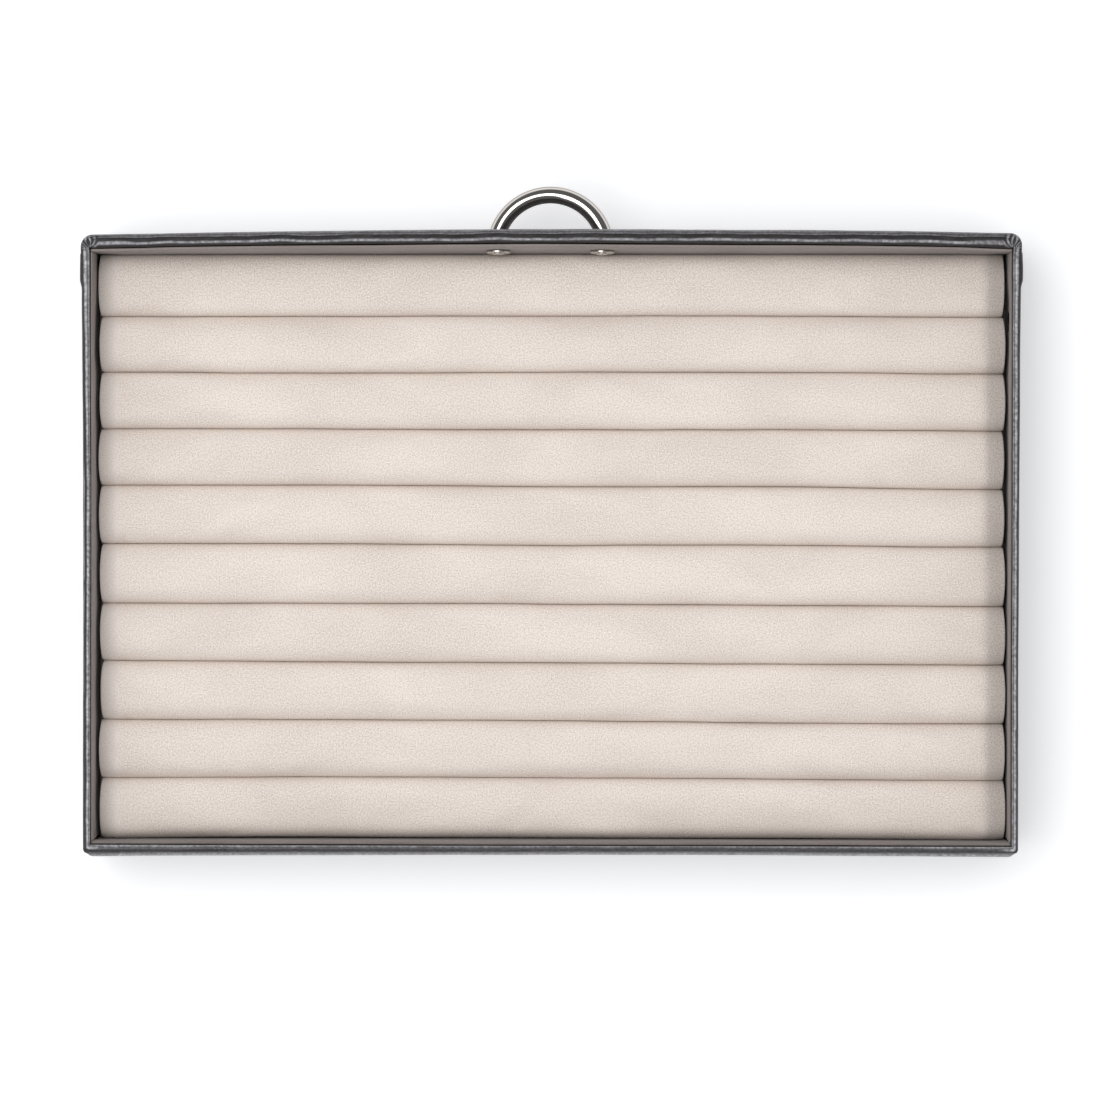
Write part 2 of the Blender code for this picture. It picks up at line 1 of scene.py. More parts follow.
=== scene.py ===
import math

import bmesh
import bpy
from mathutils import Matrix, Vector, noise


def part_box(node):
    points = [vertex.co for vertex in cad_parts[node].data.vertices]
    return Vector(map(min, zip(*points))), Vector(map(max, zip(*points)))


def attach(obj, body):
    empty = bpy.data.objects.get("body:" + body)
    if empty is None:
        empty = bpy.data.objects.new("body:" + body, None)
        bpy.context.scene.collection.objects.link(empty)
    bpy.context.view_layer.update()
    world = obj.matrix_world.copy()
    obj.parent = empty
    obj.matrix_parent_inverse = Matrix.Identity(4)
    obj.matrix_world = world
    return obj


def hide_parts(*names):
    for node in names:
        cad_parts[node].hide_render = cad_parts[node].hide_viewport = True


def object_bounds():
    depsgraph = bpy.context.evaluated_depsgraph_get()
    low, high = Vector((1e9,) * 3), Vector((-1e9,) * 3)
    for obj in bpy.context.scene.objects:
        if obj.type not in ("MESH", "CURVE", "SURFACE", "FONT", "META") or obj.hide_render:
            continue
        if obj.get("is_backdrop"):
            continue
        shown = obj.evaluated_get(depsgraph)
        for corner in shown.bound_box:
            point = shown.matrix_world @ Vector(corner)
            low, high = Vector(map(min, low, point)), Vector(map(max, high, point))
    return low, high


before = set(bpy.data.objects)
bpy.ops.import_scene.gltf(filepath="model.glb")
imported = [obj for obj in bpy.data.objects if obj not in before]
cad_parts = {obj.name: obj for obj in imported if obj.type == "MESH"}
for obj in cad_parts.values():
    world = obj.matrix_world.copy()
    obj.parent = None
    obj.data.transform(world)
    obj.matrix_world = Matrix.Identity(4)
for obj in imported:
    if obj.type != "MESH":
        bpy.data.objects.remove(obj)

# %% [markdown]
# # A ring case in leather and suede
#
# This case is an open tray. Its walls are thin boards wrapped in dark grained leather, its inside
# is lined with taupe cloth, and ten padded rolls in pale suede fill the floor. Rings stand upright
# in the slots between the rolls. A small chrome bow on the front wall pulls it out of its cabinet.
#
# The CAD model is already loaded above. It gives the true sizes, so this file asks it where each
# node lies and then dresses it: boards keep their CAD shape and get a material, and everything
# soft, turned or bent gets a finer piece of its own that stands for its node.

MM = 0.001
cad_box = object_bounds()
body_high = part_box("body_cover")[1]
front_low, front_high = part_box("front_cover")
half_length = front_high.x
half_depth = body_high.y
front_bow = -half_depth - front_low.y
pieces_made = {}
print("case", [round(v / MM, 1) for v in cad_box[1] - cad_box[0]], "mm")
print("the front bows out by", round(front_bow / MM, 2), "mm")

# %% [markdown]
# ## Small helpers
#
# Each piece ends the same way. Its mesh gets a material, it rides on the case's one body, and it
# hides the CAD nodes that it stands for. Writing that once keeps the cells below about shapes. A
# few sums that come back often, such as a smooth curve through a table of numbers, have their
# helpers here too.

# %% Helpers for finished pieces


def new_piece(name, bm):
    """A bmesh becomes an object whose own place is the origin."""
    mesh = bpy.data.meshes.new(name)
    bm.to_mesh(mesh)
    bm.free()
    piece = bpy.data.objects.new(name, mesh)
    bpy.context.scene.collection.objects.link(piece)
    return piece


def baked(piece):
    """Apply a piece's modifiers by taking the evaluated mesh, and drop the modifiers."""
    depsgraph = bpy.context.evaluated_depsgraph_get()
    mesh = bpy.data.meshes.new_from_object(piece.evaluated_get(depsgraph), depsgraph=depsgraph)
    old = piece.data
    piece.modifiers.clear()
    piece.data = mesh
    if old.users == 0:
        bpy.data.meshes.remove(old)
    mesh.name = piece.name
    return piece


def finish_piece(piece, finish, slot, *nodes, smooth=None):
    """Give a piece its finish, its body and the nodes that it stands for. The slot is not used."""
    piece.data.materials.clear()
    piece.data.materials.append(finish)
    piece.data.shade_smooth()
    if smooth is not None:
        piece.data.set_sharp_from_angle(angle=math.radians(smooth))
    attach(piece, "root")
    if nodes:
        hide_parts(*nodes)
    pieces_made[piece.name] = sum(len(face.vertices) - 2 for face in piece.data.polygons)
    print(piece.name, pieces_made[piece.name], "triangles")


def cut_out(piece, cutters):
    """Subtract closed solids from a piece, and remove them."""
    for cutter in cutters:
        modifier = piece.modifiers.new("cut", "BOOLEAN")
        modifier.operation, modifier.solver, modifier.object = "DIFFERENCE", "EXACT", cutter
    baked(piece)
    for cutter in cutters:
        bpy.data.objects.remove(cutter, do_unlink=True)


print("pieces can be made, baked, cut and finished")

# %% Helpers for numbers and tables


def clamped(value, low=0, high=1):
    return min(max(value, low), high)


def eased(share):
    """A share from 0 to 1 that starts and ends gently."""
    return share * share * (3 - 2 * share)


def spread(start, end, parts):
    """Numbers from start to end, with equal parts between them."""
    return [start + (end - start) * i / parts for i in range(parts + 1)]


def smooth_step(before, a, b, after, t):
    """A value between a and b at the share t, on a smooth curve through its neighbours."""
    return 0.5 * (2 * a + (b - before) * t + (2 * before - 5 * a + 4 * b - after) * t ** 2
                  + (3 * a - before - 3 * b + after) * t ** 3)


def smooth_line(points, steps):
    """A smooth line through rows of numbers, with steps parts to each stretch."""
    line = []
    for i in range(len(points) - 1):
        near = [points[clamped(n, 0, len(points) - 1)] for n in (i - 1, i, i + 1, i + 2)]
        line += [tuple(smooth_step(*values, step / steps) for values in zip(*near))
                 for step in range(steps)]
    return line + [tuple(points[-1])]


def read_table(table, place):
    """The values of a table at a place. Its rows start with their place, in rising order."""
    place = clamped(place, table[0][0], table[-1][0])
    i = next(n for n in range(1, len(table)) if place <= table[n][0]) - 1
    near = [table[clamped(n, 0, len(table) - 1)] for n in (i - 1, i, i + 1, i + 2)]
    t = (place - table[i][0]) / (table[i + 1][0] - table[i][0])
    return [smooth_step(*values, t) for values in zip(*near)][1:]


print("halfway between two rows:", read_table(((0, 1.0, 2.0), (10, 3.0, 2.5)), 5))

# %% [markdown]
# ## The camera
#
# The picture was taken from almost straight above, with the front of the case at the top of the
# frame, from nearly two metres away with a long lens. The place and the small tilt below were
# solved from the rim's corners, the seams between the rolls, and the linings that show between
# rim and rolls: the higher the camera, the less of them shows.

# %% The camera
camera_data = bpy.data.cameras.new("overhead_camera")
camera_data.sensor_width = 36
camera_data.lens = 173.97
camera_data.clip_start = 0.05
camera_data.clip_end = 20
camera = bpy.data.objects.new("overhead_camera", camera_data)
camera.matrix_world = Matrix.Translation((-0.03913, -0.01932, 1.976)) @ Matrix((
    (-0.999797, 0.000738, -0.020159, 0),
    (-0.000511, -0.999936, -0.011281, 0),
    (-0.020166, -0.011268, 0.999733, 0),
    (0, 0, 0, 1)))
bpy.context.scene.collection.objects.link(camera)
bpy.context.scene.camera = camera
print("camera", round(camera.location.z, 2), "m up, lens", camera_data.lens, "mm")

# %% [markdown]
# ## Finishes
#
# A finish is a small network of nodes that ends in one Principled shader. Every pattern here reads
# the Object coordinates or the piece's own UV map, so the grain stays on the piece from any side.
# The class below has a short way to add each kind of node that this file needs, and a finish adds
# its material and shader to that. What is the same all over a surface is set on the shader.

# %% Helpers for networks of nodes


class Network:
    """A tree of nodes."""

    def __init__(self, tree):
        self.tree = tree

    def feed(self, socket, value):
        """Link a socket to its source, or set its value."""
        if isinstance(value, bpy.types.NodeSocket):
            self.tree.links.new(value, socket)
        else:
            socket.default_value = value

    def add(self, kind, inputs=None, **settings):
        made = self.tree.nodes.new(kind)
        for key, value in settings.items():
            setattr(made, key, value)
        for key, value in (inputs or {}).items():
            self.feed(made.inputs[key], value)
        return made

    def maths(self, operation, *values):
        return self.add("ShaderNodeMath", dict(enumerate(values)), operation=operation).outputs[0]

    def scaled(self, value, low, high, from_low=0.0, from_high=1.0):
        """Map a value from one range to another."""
        return self.add("ShaderNodeMapRange", {
            "Value": value, "From Min": from_low, "From Max": from_high,
            "To Min": low, "To Max": high}).outputs["Result"]

    def mixed(self, share, first, second, blend_type="MIX"):
        """Mix two colours, given as sockets or as (r, g, b), by a share from 0 to 1."""
        first, second = (colour if isinstance(colour, bpy.types.NodeSocket) else (*colour, 1)
                         for colour in (first, second))
        return self.add("ShaderNodeMix", {0: share, 6: first, 7: second},
                        data_type="RGBA", blend_type=blend_type).outputs[2]

    def tones(self, value, first, second, low=0.3, high=0.7):
        """Two colours, mixed by where a value lies between low and high."""
        return self.mixed(self.scaled(value, 0, 1, low, high), first, second)

    def clouds(self, place, scale, detail, **more):
        """Noise from 0 to 1."""
        return self.add("ShaderNodeTexNoise", {
            "Vector": place, "Scale": scale, "Detail": detail, **more}).outputs["Fac"]

    def cells(self, place, scale, feature="F1", **more):
        """How far a place is from the middle of its cell."""
        return self.add("ShaderNodeTexVoronoi", {"Vector": place, "Scale": scale, **more},
                        feature=feature).outputs["Distance"]

    def mark(self, name):
        """What an attribute on the mesh says."""
        return self.add("ShaderNodeAttribute", attribute_name=name).outputs["Fac"]


class Finish(Network):
    """A material with one Principled shader, with the numbers that don't vary over it."""

    def __init__(self, name, colour, roughness, constant=None):
        self.material = bpy.data.materials.new(name)
        self.material.use_nodes = True
        super().__init__(self.material.node_tree)
        self.shader = self.tree.nodes["Principled BSDF"]
        self.give("Base Color", (*colour, 1))
        self.give("Roughness", roughness)
        for socket, value in (constant or {}).items():
            self.give(socket, value)

    def give(self, socket, value):
        self.feed(self.shader.inputs[socket], value)

    def place(self):
        return self.add("ShaderNodeTexCoord").outputs["Object"]

    def raise_by(self, height, strength, distance, invert=False):
        """Let a height stand up as bumps of a distance in metres."""
        self.give("Normal", self.add("ShaderNodeBump", {
            "Height": height, "Strength": strength, "Distance": distance,
        }, invert=invert).outputs["Normal"])


print("networks can add nodes")

# %% [markdown]
# ### Leather
#
# The walls wear a dark grey leather with a fine pebble grain. Each pebble is a cell of a smooth
# Voronoi pattern, under a millimetre wide, and its raised middle catches the light while the
# valleys between stay dull. The rim's ridges get a pale painted highlight and its hollows a
# near-black painted shade, from an attribute on the mesh that runs from -1, painted shade, to 1,
# painted highlight.

# %% Leather finish


def leather_finish(name):
    skin = Finish(name, (0.045, 0.041, 0.043), 0.4, {"Specular IOR Level": 0.75})
    place = skin.place()
    pebbles = skin.cells(place, 1150, "SMOOTH_F1", Smoothness=0.35, Randomness=0.85)
    creases = skin.clouds(place, 800, 3)
    mottle = skin.clouds(place, 60, 4)
    # Painted light and shade: this mark paints a pale highlight on the rim's ridges and near-black
    # shade in its hollows.
    wear = skin.mark("wear")
    highlight_share = skin.scaled(wear, 0, 1, 0, 1)
    shade_share = skin.scaled(wear, 1, 0, -1, 0)
    painted_sheen = skin.maths("MULTIPLY", highlight_share, skin.scaled(creases, 0.35, 1.0, 0.35, 0.65))
    dark = skin.tones(mottle, (0.036, 0.031, 0.034), (0.058, 0.052, 0.055))
    valley = skin.mixed(skin.scaled(pebbles, 0, 0.55, 0.25, 0.6), dark, (0.020, 0.017, 0.019))
    # The pale colour here is a painted highlight.
    highlighted = skin.mixed(painted_sheen, valley, (0.52, 0.515, 0.54))
    # The near-black colour here is painted shade.
    skin.give("Base Color", skin.mixed(shade_share, highlighted, (0.012, 0.009, 0.010)))
    rough = skin.scaled(mottle, 0.36, 0.48, 0.3, 0.7)
    smoother = skin.maths("SUBTRACT", rough, skin.scaled(painted_sheen, 0, 0.12))
    skin.give("Roughness", skin.maths("ADD", smoother, skin.scaled(shade_share, 0, 0.3)))
    height = skin.maths("ADD", pebbles, skin.scaled(creases, -0.5, 0.5))
    skin.raise_by(height, 0.55, 0.00022, invert=True)
    return skin.material


leather = leather_finish("dark_grained_leather")
print("finish", leather.name)

# %% [markdown]
# ### Suede
#
# The rolls are covered in a pale, faintly pink suede. Its nap is short and soft: at arm's length
# it shows as a fine salt-and-pepper grain with broad cloudy patches where a hand has brushed it
# one way or the other. The fibres also catch light at a slant, which is what sheen is for. The
# pattern follows the roll's UV map, in metres, so that it wraps round the crown with the cloth.
# Near the rolls' -X ends, beside the wall, the suede is painted darker as painted shade, and near
# the +X ends paler as painted light; an attribute marks where.

# %% Suede finish


def suede_finish(name):
    nap = Finish(name, (0.80, 0.71, 0.64), 0.95, {
        "Specular IOR Level": 0.15, "Sheen Weight": 0.22, "Sheen Roughness": 0.45,
        "Sheen Tint": (1.0, 0.96, 0.92, 1)})
    cloth = nap.add("ShaderNodeUVMap", uv_map="cloth").outputs["UV"]
    stretched = nap.add("ShaderNodeMapping", {"Vector": cloth, "Scale": (1, 1.9, 1)}).outputs[0]
    grain = nap.clouds(cloth, 1900, 3, Roughness=0.8)
    speckle = nap.clouds(cloth, 2600, 2, Roughness=0.6)
    patches = nap.clouds(stretched, 20, 3, Roughness=0.55, Distortion=0.4)
    brushed = nap.tones(patches, (0.745, 0.650, 0.585), (0.850, 0.760, 0.690), 0.33, 0.64)
    napped = nap.mixed(nap.scaled(grain, 0, 0.9, 0.46, 0.68), brushed, (0.97, 0.90, 0.84))
    shaded = nap.mixed(nap.scaled(grain, 0.9, 0, 0.32, 0.54), napped, (0.52, 0.45, 0.40))
    # Painted shade near the rolls' -X ends, from the mark read here.
    pressed = nap.mark("pressed")
    end_shaded = nap.mixed(nap.scaled(pressed, 0, 0.85), shaded, (0.78, 0.79, 0.80), "MULTIPLY")
    # Painted light: paler suede near the rolls' +X ends.
    raised = nap.scaled(pressed, 0.95, 0, -1, 0)
    nap.give("Base Color", nap.mixed(raised, end_shaded, (0.98, 0.91, 0.86)))
    nap.raise_by(nap.maths("ADD", grain, nap.scaled(speckle, 0, 0.5)), 0.5, 0.00018)
    return nap.material


suede = suede_finish("pale_suede")
print("finish", suede.name)

# %% [markdown]
# ### Lining cloth, book cloth, board and foam
#
# The inner walls are covered in a thin taupe suede cloth. Underneath, a black book cloth with a
# plain weave hides the turned-in leather. The boards and the foam are out of sight unless the case
# is opened up, and still each gets the look of what it is: grey board has flecks of pulp, and
# foam has open cells.

# %% Cloth, board and foam finishes


def lining_finish(name, shade_scale=1.0):
    """Taupe cloth. A scale below 1 gives a darker copy, as painted shade on the cards that face the
    lamp.
    """
    cloth = Finish(name, (0.30, 0.26, 0.24), 0.95, {
        "Specular IOR Level": 0.15, "Sheen Weight": 0.15, "Sheen Roughness": 0.5})
    place = cloth.place()
    grain = cloth.clouds(place, 1300, 4, Roughness=0.7)
    low, high, fibre = ([shade_scale * c for c in colour] for colour in (
        (0.215, 0.182, 0.168), (0.275, 0.237, 0.221), (0.36, 0.315, 0.295)))
    brushed = cloth.tones(cloth.clouds(place, 45, 3), low, high)
    cloth.give("Base Color", cloth.mixed(cloth.scaled(grain, 0, 0.45, 0.4, 0.7), brushed, fibre))
    cloth.raise_by(grain, 0.4, 0.00012)
    return cloth.material


def book_cloth_finish(name):
    cloth = Finish(name, (0.05, 0.046, 0.05), 0.85)
    place = cloth.place()
    threads = [cloth.add("ShaderNodeTexWave", {
        "Vector": place, "Scale": 330, "Distortion": 0.6, "Detail": 1,
    }, wave_type="BANDS", bands_direction=way).outputs["Fac"] for way in ("X", "Y")]
    weave = cloth.maths("MULTIPLY", *threads)
    cloth.give("Base Color", cloth.mixed(cloth.scaled(weave, 0, 1, 0, 0.8),
                                         (0.024, 0.022, 0.025), (0.066, 0.061, 0.066)))
    cloth.raise_by(cloth.maths("ADD", weave, cloth.clouds(place, 240, 3)), 0.5, 0.00015)
    return cloth.material


def board_finish(name):
    board = Finish(name, (0.40, 0.36, 0.31), 0.9)
    place = board.place()
    pulp = board.clouds(place, 500, 6, Roughness=0.7)
    flecks = board.scaled(board.cells(place, 380), 0.6, 0, 0.0, 0.12)
    tone = board.tones(pulp, (0.33, 0.295, 0.255), (0.47, 0.43, 0.37))
    board.give("Base Color", board.mixed(flecks, tone, (0.20, 0.17, 0.14)))
    board.raise_by(pulp, 0.3, 0.0001)
    return board.material


def foam_finish(name):
    foam = Finish(name, (0.74, 0.72, 0.66), 0.95)
    pores = foam.cells(foam.place(), 1400)
    foam.give("Base Color", foam.tones(pores, (0.46, 0.44, 0.39), (0.80, 0.78, 0.72), 0.1, 0.6))
    foam.raise_by(pores, 0.7, 0.0003)
    return foam.material


lining_cloth = lining_finish("taupe_lining_cloth")
# A darker copy of the lining cloth, as painted shade.
shaded_lining_cloth = lining_finish("taupe_lining_cloth_nap_turned", 0.8)
book_cloth = book_cloth_finish("black_book_cloth")
grey_board = board_finish("grey_board")
open_foam = foam_finish("open_cell_foam")
print("finishes", [m.name for m in (lining_cloth, book_cloth, grey_board, open_foam)])

# %% [markdown]
# ### Metals
#
# The bow is polished chrome plate. Chrome has almost no colour of its own, and it looks like metal
# because it mirrors the bright panels and the dark gaps of the studio. Seen along its surface the
# thin plate looks darker and browner, which the specular tint gives. The washers and the screws
# are plain zinc-bright steel, a little duller, with fine marks and a colour that varies a little.

# %% Metal finishes


def chrome_finish(name):
    plate = Finish(name, (0.64, 0.61, 0.58), 0.06, {
        "Metallic": 1.0, "Specular Tint": (0.25, 0.2, 0.16, 1)})
    place = plate.place()
    plate.give("Roughness", plate.scaled(plate.clouds(place, 140, 4), 0.03, 0.11, 0.35, 0.7))
    plate.raise_by(plate.clouds(place, 3000, 1), 0.03, 0.00002)
    return plate.material


def steel_finish(name):
    metal = Finish(name, (0.70, 0.67, 0.62), 0.28, {"Metallic": 1.0})
    marks = metal.clouds(metal.place(), 1600, 3)
    metal.give("Roughness", metal.scaled(marks, 0.18, 0.38, 0.3, 0.7))
    metal.give("Base Color", metal.tones(marks, (0.62, 0.59, 0.54), (0.78, 0.76, 0.72)))
    return metal.material


chrome = chrome_finish("polished_chrome")
steel = steel_finish("bright_steel")
print("finishes", chrome.name, steel.name)

# %% [markdown]
# ## Boards and cloths that keep their CAD shape
#
# The boards, the cloth under the base and the cloth on the floor are flat sheets, and the CAD
# model already has their true outline. They stay as they are and only get their finish.

# %% Dress the flat sheets
for node, finish in (
    ("base_board", grey_board), ("front_board", grey_board), ("back_board", grey_board),
    ("left_board", grey_board), ("right_board", grey_board), ("pad_board", grey_board),
    ("base_cloth", book_cloth), ("floor_lining", lining_cloth),
):
    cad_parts[node].material_slots[0].material = finish
    print("dressed", node, "in", finish.name)

# %% [markdown]
# ## The ring rolls
#
# A ring roll is a bar of foam with suede drawn over it and tucked down between it and its
# neighbour. Seen from above, only the crowns show, and each seam is the line where two rolls press
# together. No seam is quite straight: they wander by a millimetre, and the rolls bulge and hollow
# a little along their length. Each row of the first table is a place along the case, in
# millimetres, with how far the nine seams lie astray there, from front to back. Where the back
# roll meets the back card, the line has a finer table of its own.

# %% Where the seams run
roll_count = 10
first_low, first_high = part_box("ring_roll_01")
last_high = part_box(f"ring_roll_{roll_count:02d}")[1]
roll_space = 0.3 * MM
roll_pitch = (last_high.y - first_low.y + roll_space) / roll_count
block_front = first_low.y - roll_space / 2
roll_base, roll_top = first_low.z, first_high.z
first_seam_astray = -0.25 * MM
seam_wander = (
    (-160, 1.57, 0.96, 0.53, 0.59, 0.36, 0.76, 0.75, 1.02, 0.51),
    (-81, 1.12, 0.34, 0.04, -0.40, -0.32, 0.32, 0.59, 0.76, 0.01),
    (0, 1.07, 0.34, 0.14, -0.39, -0.26, -0.05, 0.17, 0.10, -0.33),
    (81, 1.20, 0.64, -0.21, -0.98, -0.79, -0.27, -0.07, -0.19, -0.50),
    (162, 1.30, 0.28, -0.22, -0.94, -0.77, -0.19, -0.49, -0.19, -0.22),
)
last_seam = (
    (-165, 0.95), (-145, 0.92), (-125, 0.64), (-90, 0.44), (-55, 0.44), (18, 0.36), (55, 0.30),
    (91, 0.14), (127, 0.30), (146, 0.62), (165, 0.86),
)


def seam_offset(seam, x):
    """How far a seam lies from its straight place, towards the back, at x."""
    if seam == 0:
        return first_seam_astray
    if seam == roll_count:
        return read_table(last_seam, x / MM)[0] * MM
    ripple = noise.noise((x / (23 * MM), 7.3 * seam, 0.4)) * 0.16
    return (read_table(seam_wander, x / MM)[seam - 1] + ripple) * MM


print("rolls every", round(roll_pitch / MM, 2), "mm from y", round(block_front / MM, 2))
print("the middle seam wanders by", round(seam_offset(5, 0) / MM, 2), "mm halfway along")

# %% [markdown]
# ### The taut shape
#
# Each roll is a closed grid of rings. A ring has a flat foot, upright sides and a crown, and the
# crown is a superellipse, which is fuller than a circle and leans a little to the back. Towards
# each end the rings sink along a soft slope, and then the suede turns down sharply over the end of
# the foam, in a shallow curve from seam to seam.

# %% A taut roll's sizes
crown_height = 8.5 * MM
crown_power = 2.5
crest_shift = 1.2 * MM
last_crest_shift = 2.2 * MM
end_length = 7.0 * MM
end_drop = 2.4 * MM
end_soft = 0.35
end_draw = 0.2 * MM
end_bulge = 0.5 * MM
roll_reach = 165.65 * MM
slot_room = 0.03 * MM
slot_press = 0.15 * MM
crown_points = 22
side_points = 4
foot_points = 4
middle_rings = 106
end_shares = 0.1, 0.2, 0.3, 0.4, 0.55, 0.7, 0.83, 0.92, 0.98, 1.0
end_caps = (0.96, 0.2), (0.65, 0.5), (0.3, 0.6)  # a cap ring's size, and how far out it lies
print("the crown is", round(crown_height / MM, 1), "mm of a roll's",
      round((roll_top - roll_base) / MM, 1), "mm")

# %% Shape a taut roll


def end_slope(share):
    """How far the crown has sunk, from 0 to 1, at a share of the way down its end."""
    soft = min(share, end_soft)
    return (soft ** 2 / (2 * end_soft) + max(share - end_soft, 0)) / (1 - end_soft / 2)


def roll_ring(drop, draw, slimmer, crest=crest_shift):
    """A roll's section, from its front foot over the crown to its back foot, as (y, z)."""
    half = roll_pitch / 2 - slot_room + slot_press - draw - slimmer
    top = roll_top - drop - slimmer
    shoulder = roll_top - crown_height - 0.6 * drop
    upright = [roll_base + (shoulder - roll_base) * i / side_points for i in range(side_points)]
    points = [(-half, z) for z in upright]
    for i in range(crown_points + 1):
        angle = math.pi * (1 - i / crown_points)
        across = math.copysign(abs(math.cos(angle)) ** (2 / crown_power), math.cos(angle))
        rise = abs(math.sin(angle)) ** (2 / crown_power)
        lean = crest * rise * (1 - across ** 2)
        points.append((half * across + lean, shoulder + (top - shoulder) * rise))
    points += [(half, z) for z in reversed(upright)]
    points += [(half * (1 - 2 * i / foot_points), roll_base) for i in range(1, foot_points)]
    return points


def roll_places():
    """Places along a roll, close together at its ends: (x, how far into the end's slope)."""
    straight = roll_reach - end_length
    middle = [(straight * (2 * i / middle_rings - 1), 0.0) for i in range(middle_rings + 1)]
    right = [(straight + end_length * share, share) for share in end_shares]
    return [(-x, share) for x, share in reversed(right)] + middle + right


def roll_rings(index, slimmer=0.0):
    """All the rings of one roll as points, with the shrinking rings of its end faces."""
    middle = block_front + (index + 0.5) * roll_pitch
    crest = crest_shift if index < roll_count - 1 else last_crest_shift
    rings = []
    for x, share in roll_places():
        ring = roll_ring(end_drop * end_slope(share), end_draw * share ** 6, slimmer, crest)
        bulge = math.copysign(end_bulge * share ** 3, x)
        rings.append([Vector((x + bulge * (1 - (2 * y / roll_pitch) ** 2), middle + y, z))
                      for y, z in ring])
    heart = Vector((0, middle, (roll_base + roll_top - end_drop) / 2))

    def end_face(ring, side):
        return [[Vector((point.x + side * out * MM, *(heart + (point - heart) * shrink).yz))
                 for point in ring] for shrink, out in end_caps]

    return end_face(rings[0], -1)[::-1] + rings + end_face(rings[-1], 1)


print("a ring has", len(roll_ring(0, 0, 0)), "points, a roll", len(roll_rings(0)), "rings")

# %% [markdown]
# ### From rings to suede
#
# The rings are joined by quads, and each end closes in a small cap. The UV map is in metres, along
# the roll and round it, so the nap follows the cloth, and each roll starts at its own place in the
# pattern, as if cut from another part of the skin.

# %% Build the rolls
sim_scale = 10
start_slimmer = 0.5 * MM
cap_step = 3 * MM
skin_step = 0.061, 0.023


def build_roll(index):
    """One roll at the simulation's scale, a little slimmer than its slot."""
    bm = bmesh.new()
    uv = bm.loops.layers.uv.new("cloth")
    rings = roll_rings(index, start_slimmer)
    grid = [[bm.verts.new(point * sim_scale) for point in ring] for ring in rings]
    count = len(grid[0])
    around = roll_ring(0, 0, 0)
    v_places = [0.0]
    for a, b in zip(around, around[1:] + around[:1]):
        v_places.append(v_places[-1] + math.dist(a, b))
    u_places = [ring[0].x for ring in rings]
    for i in reversed(range(len(end_caps))):
        u_places[i] = u_places[i + 1] - cap_step
        u_places[-1 - i] = u_places[-2 - i] + cap_step
    shift = Vector([index * step for step in skin_step])
    for n, (a, b) in enumerate(zip(grid, grid[1:])):
        for i in range(count):
            j = (i + 1) % count
            face = bm.faces.new((a[i], a[j], b[j], b[i]))
            places = ((n, i), (n, i + 1), (n + 1, i + 1), (n + 1, i))
            for loop, (across, along) in zip(face.loops, places):
                loop[uv].uv = Vector((u_places[across], v_places[along])) + shift
    for ring, u in ((grid[0], u_places[0]), (grid[-1][::-1], u_places[-1])):
        for loop in bm.faces.new(ring).loops:
            loop[uv].uv = Vector((u, loop.vert.co.z / sim_scale)) + shift
    bmesh.ops.recalc_face_normals(bm, faces=bm.faces)
    return new_piece(f"suede_roll_{index + 1:02d}", bm)


rolls = [build_roll(index) for index in range(roll_count)]
print("rolls", len(rolls), "with", len(rolls[0].data.vertices), "vertices each")

# %% [markdown]
# ### Blow the rolls up
#
# The foam inside pushes the suede out until it is tight, so the cloth simulation is a small
# pressure with no gravity, and the foot is held still. It runs at ten times the size, because
# Blender's cloth is steadier with centimetres than with millimetres. A group of weights made from
# noise lets the suede be a trace too long in some places and too short in others. What differs
# from ring to ring is kept, as the soft swells and hollows along the roll, and capped, so that
# every roll keeps its section and stays in its own slot.

# %% Press the foam out
last_frame = 20
most_slack = 0.025
held_below = roll_base + 3 * MM


def add_pressure(piece, index):
    """Hold the foot, make the suede unevenly slack and let the foam press it out."""
    held = piece.vertex_groups.new(name="held")
    slack = piece.vertex_groups.new(name="slack")
    for vert in piece.data.vertices:
        place = vert.co / sim_scale
        if place.z < held_below:
            held.add([vert.index], 1.0, "REPLACE")
        uneven = noise.noise((place.x / (26 * MM), place.y / (12 * MM), 3.1 * index))
        slack.add([vert.index], clamped(0.5 + 0.9 * uneven), "REPLACE")
    cloth = piece.modifiers.new("foam_pressure", "CLOTH")
    settings = cloth.settings
    settings.quality = 5
    settings.vertex_group_mass = "held"
    settings.vertex_group_shrink = "slack"
    settings.shrink_min, settings.shrink_max = -most_slack, most_slack
    settings.use_pressure = True
    settings.uniform_pressure_force = 4
    settings.effector_weights.gravity = 0
    cloth.collision_settings.use_collision = False
    cloth.collision_settings.use_self_collision = False
    cloth.point_cache.frame_start, cloth.point_cache.frame_end = 1, last_frame


for index, roll in enumerate(rolls):
    add_pressure(roll, index)
for step in range(last_frame):
    bpy.context.scene.frame_set(step + 1)
print("the foam has pressed for", last_frame, "frames")

# %% Keep the unevenness
most_swell = 0.5 * MM
end_rings = 16  # at each end, left out when the usual shape of a roll's section is worked out
calm_reach = roll_reach + 1 * MM
calm_blend = 8 * MM


def set_taut(piece, index, moved):
    """Put a roll at its true size, with the capped unevenness that the simulation gave it."""
    rings = roll_rings(index)
    count = len(rings[0])
    middle = block_front + (index + 0.5) * roll_pitch
    taut = [point for ring in rings for point in ring]
    for vert, point in zip(piece.data.vertices, taut):
        vert.co = point
    if not moved:
        return 0
    strays = [there - point for there, point in zip(moved, taut)]
    body = range(end_rings, len(rings) - end_rings)
    usual = [sum((strays[n * count + i] for n in body), Vector()) / len(body) for i in range(count)]
    for spot, point in enumerate(taut):
        stray = strays[spot] - usual[spot % count]
        calm = 1 - min(abs(2 * (point.y - middle) / roll_pitch), 1) ** 5
        calm *= clamped((calm_reach - abs(point.x)) / calm_blend)
        size = stray.length
        if size > 0:
            stray *= most_swell * math.tanh(size / most_swell) / size
        piece.data.vertices[spot].co = point + Vector((0, stray.y * calm, stray.z * calm))
    return max(stray.length for stray in strays)


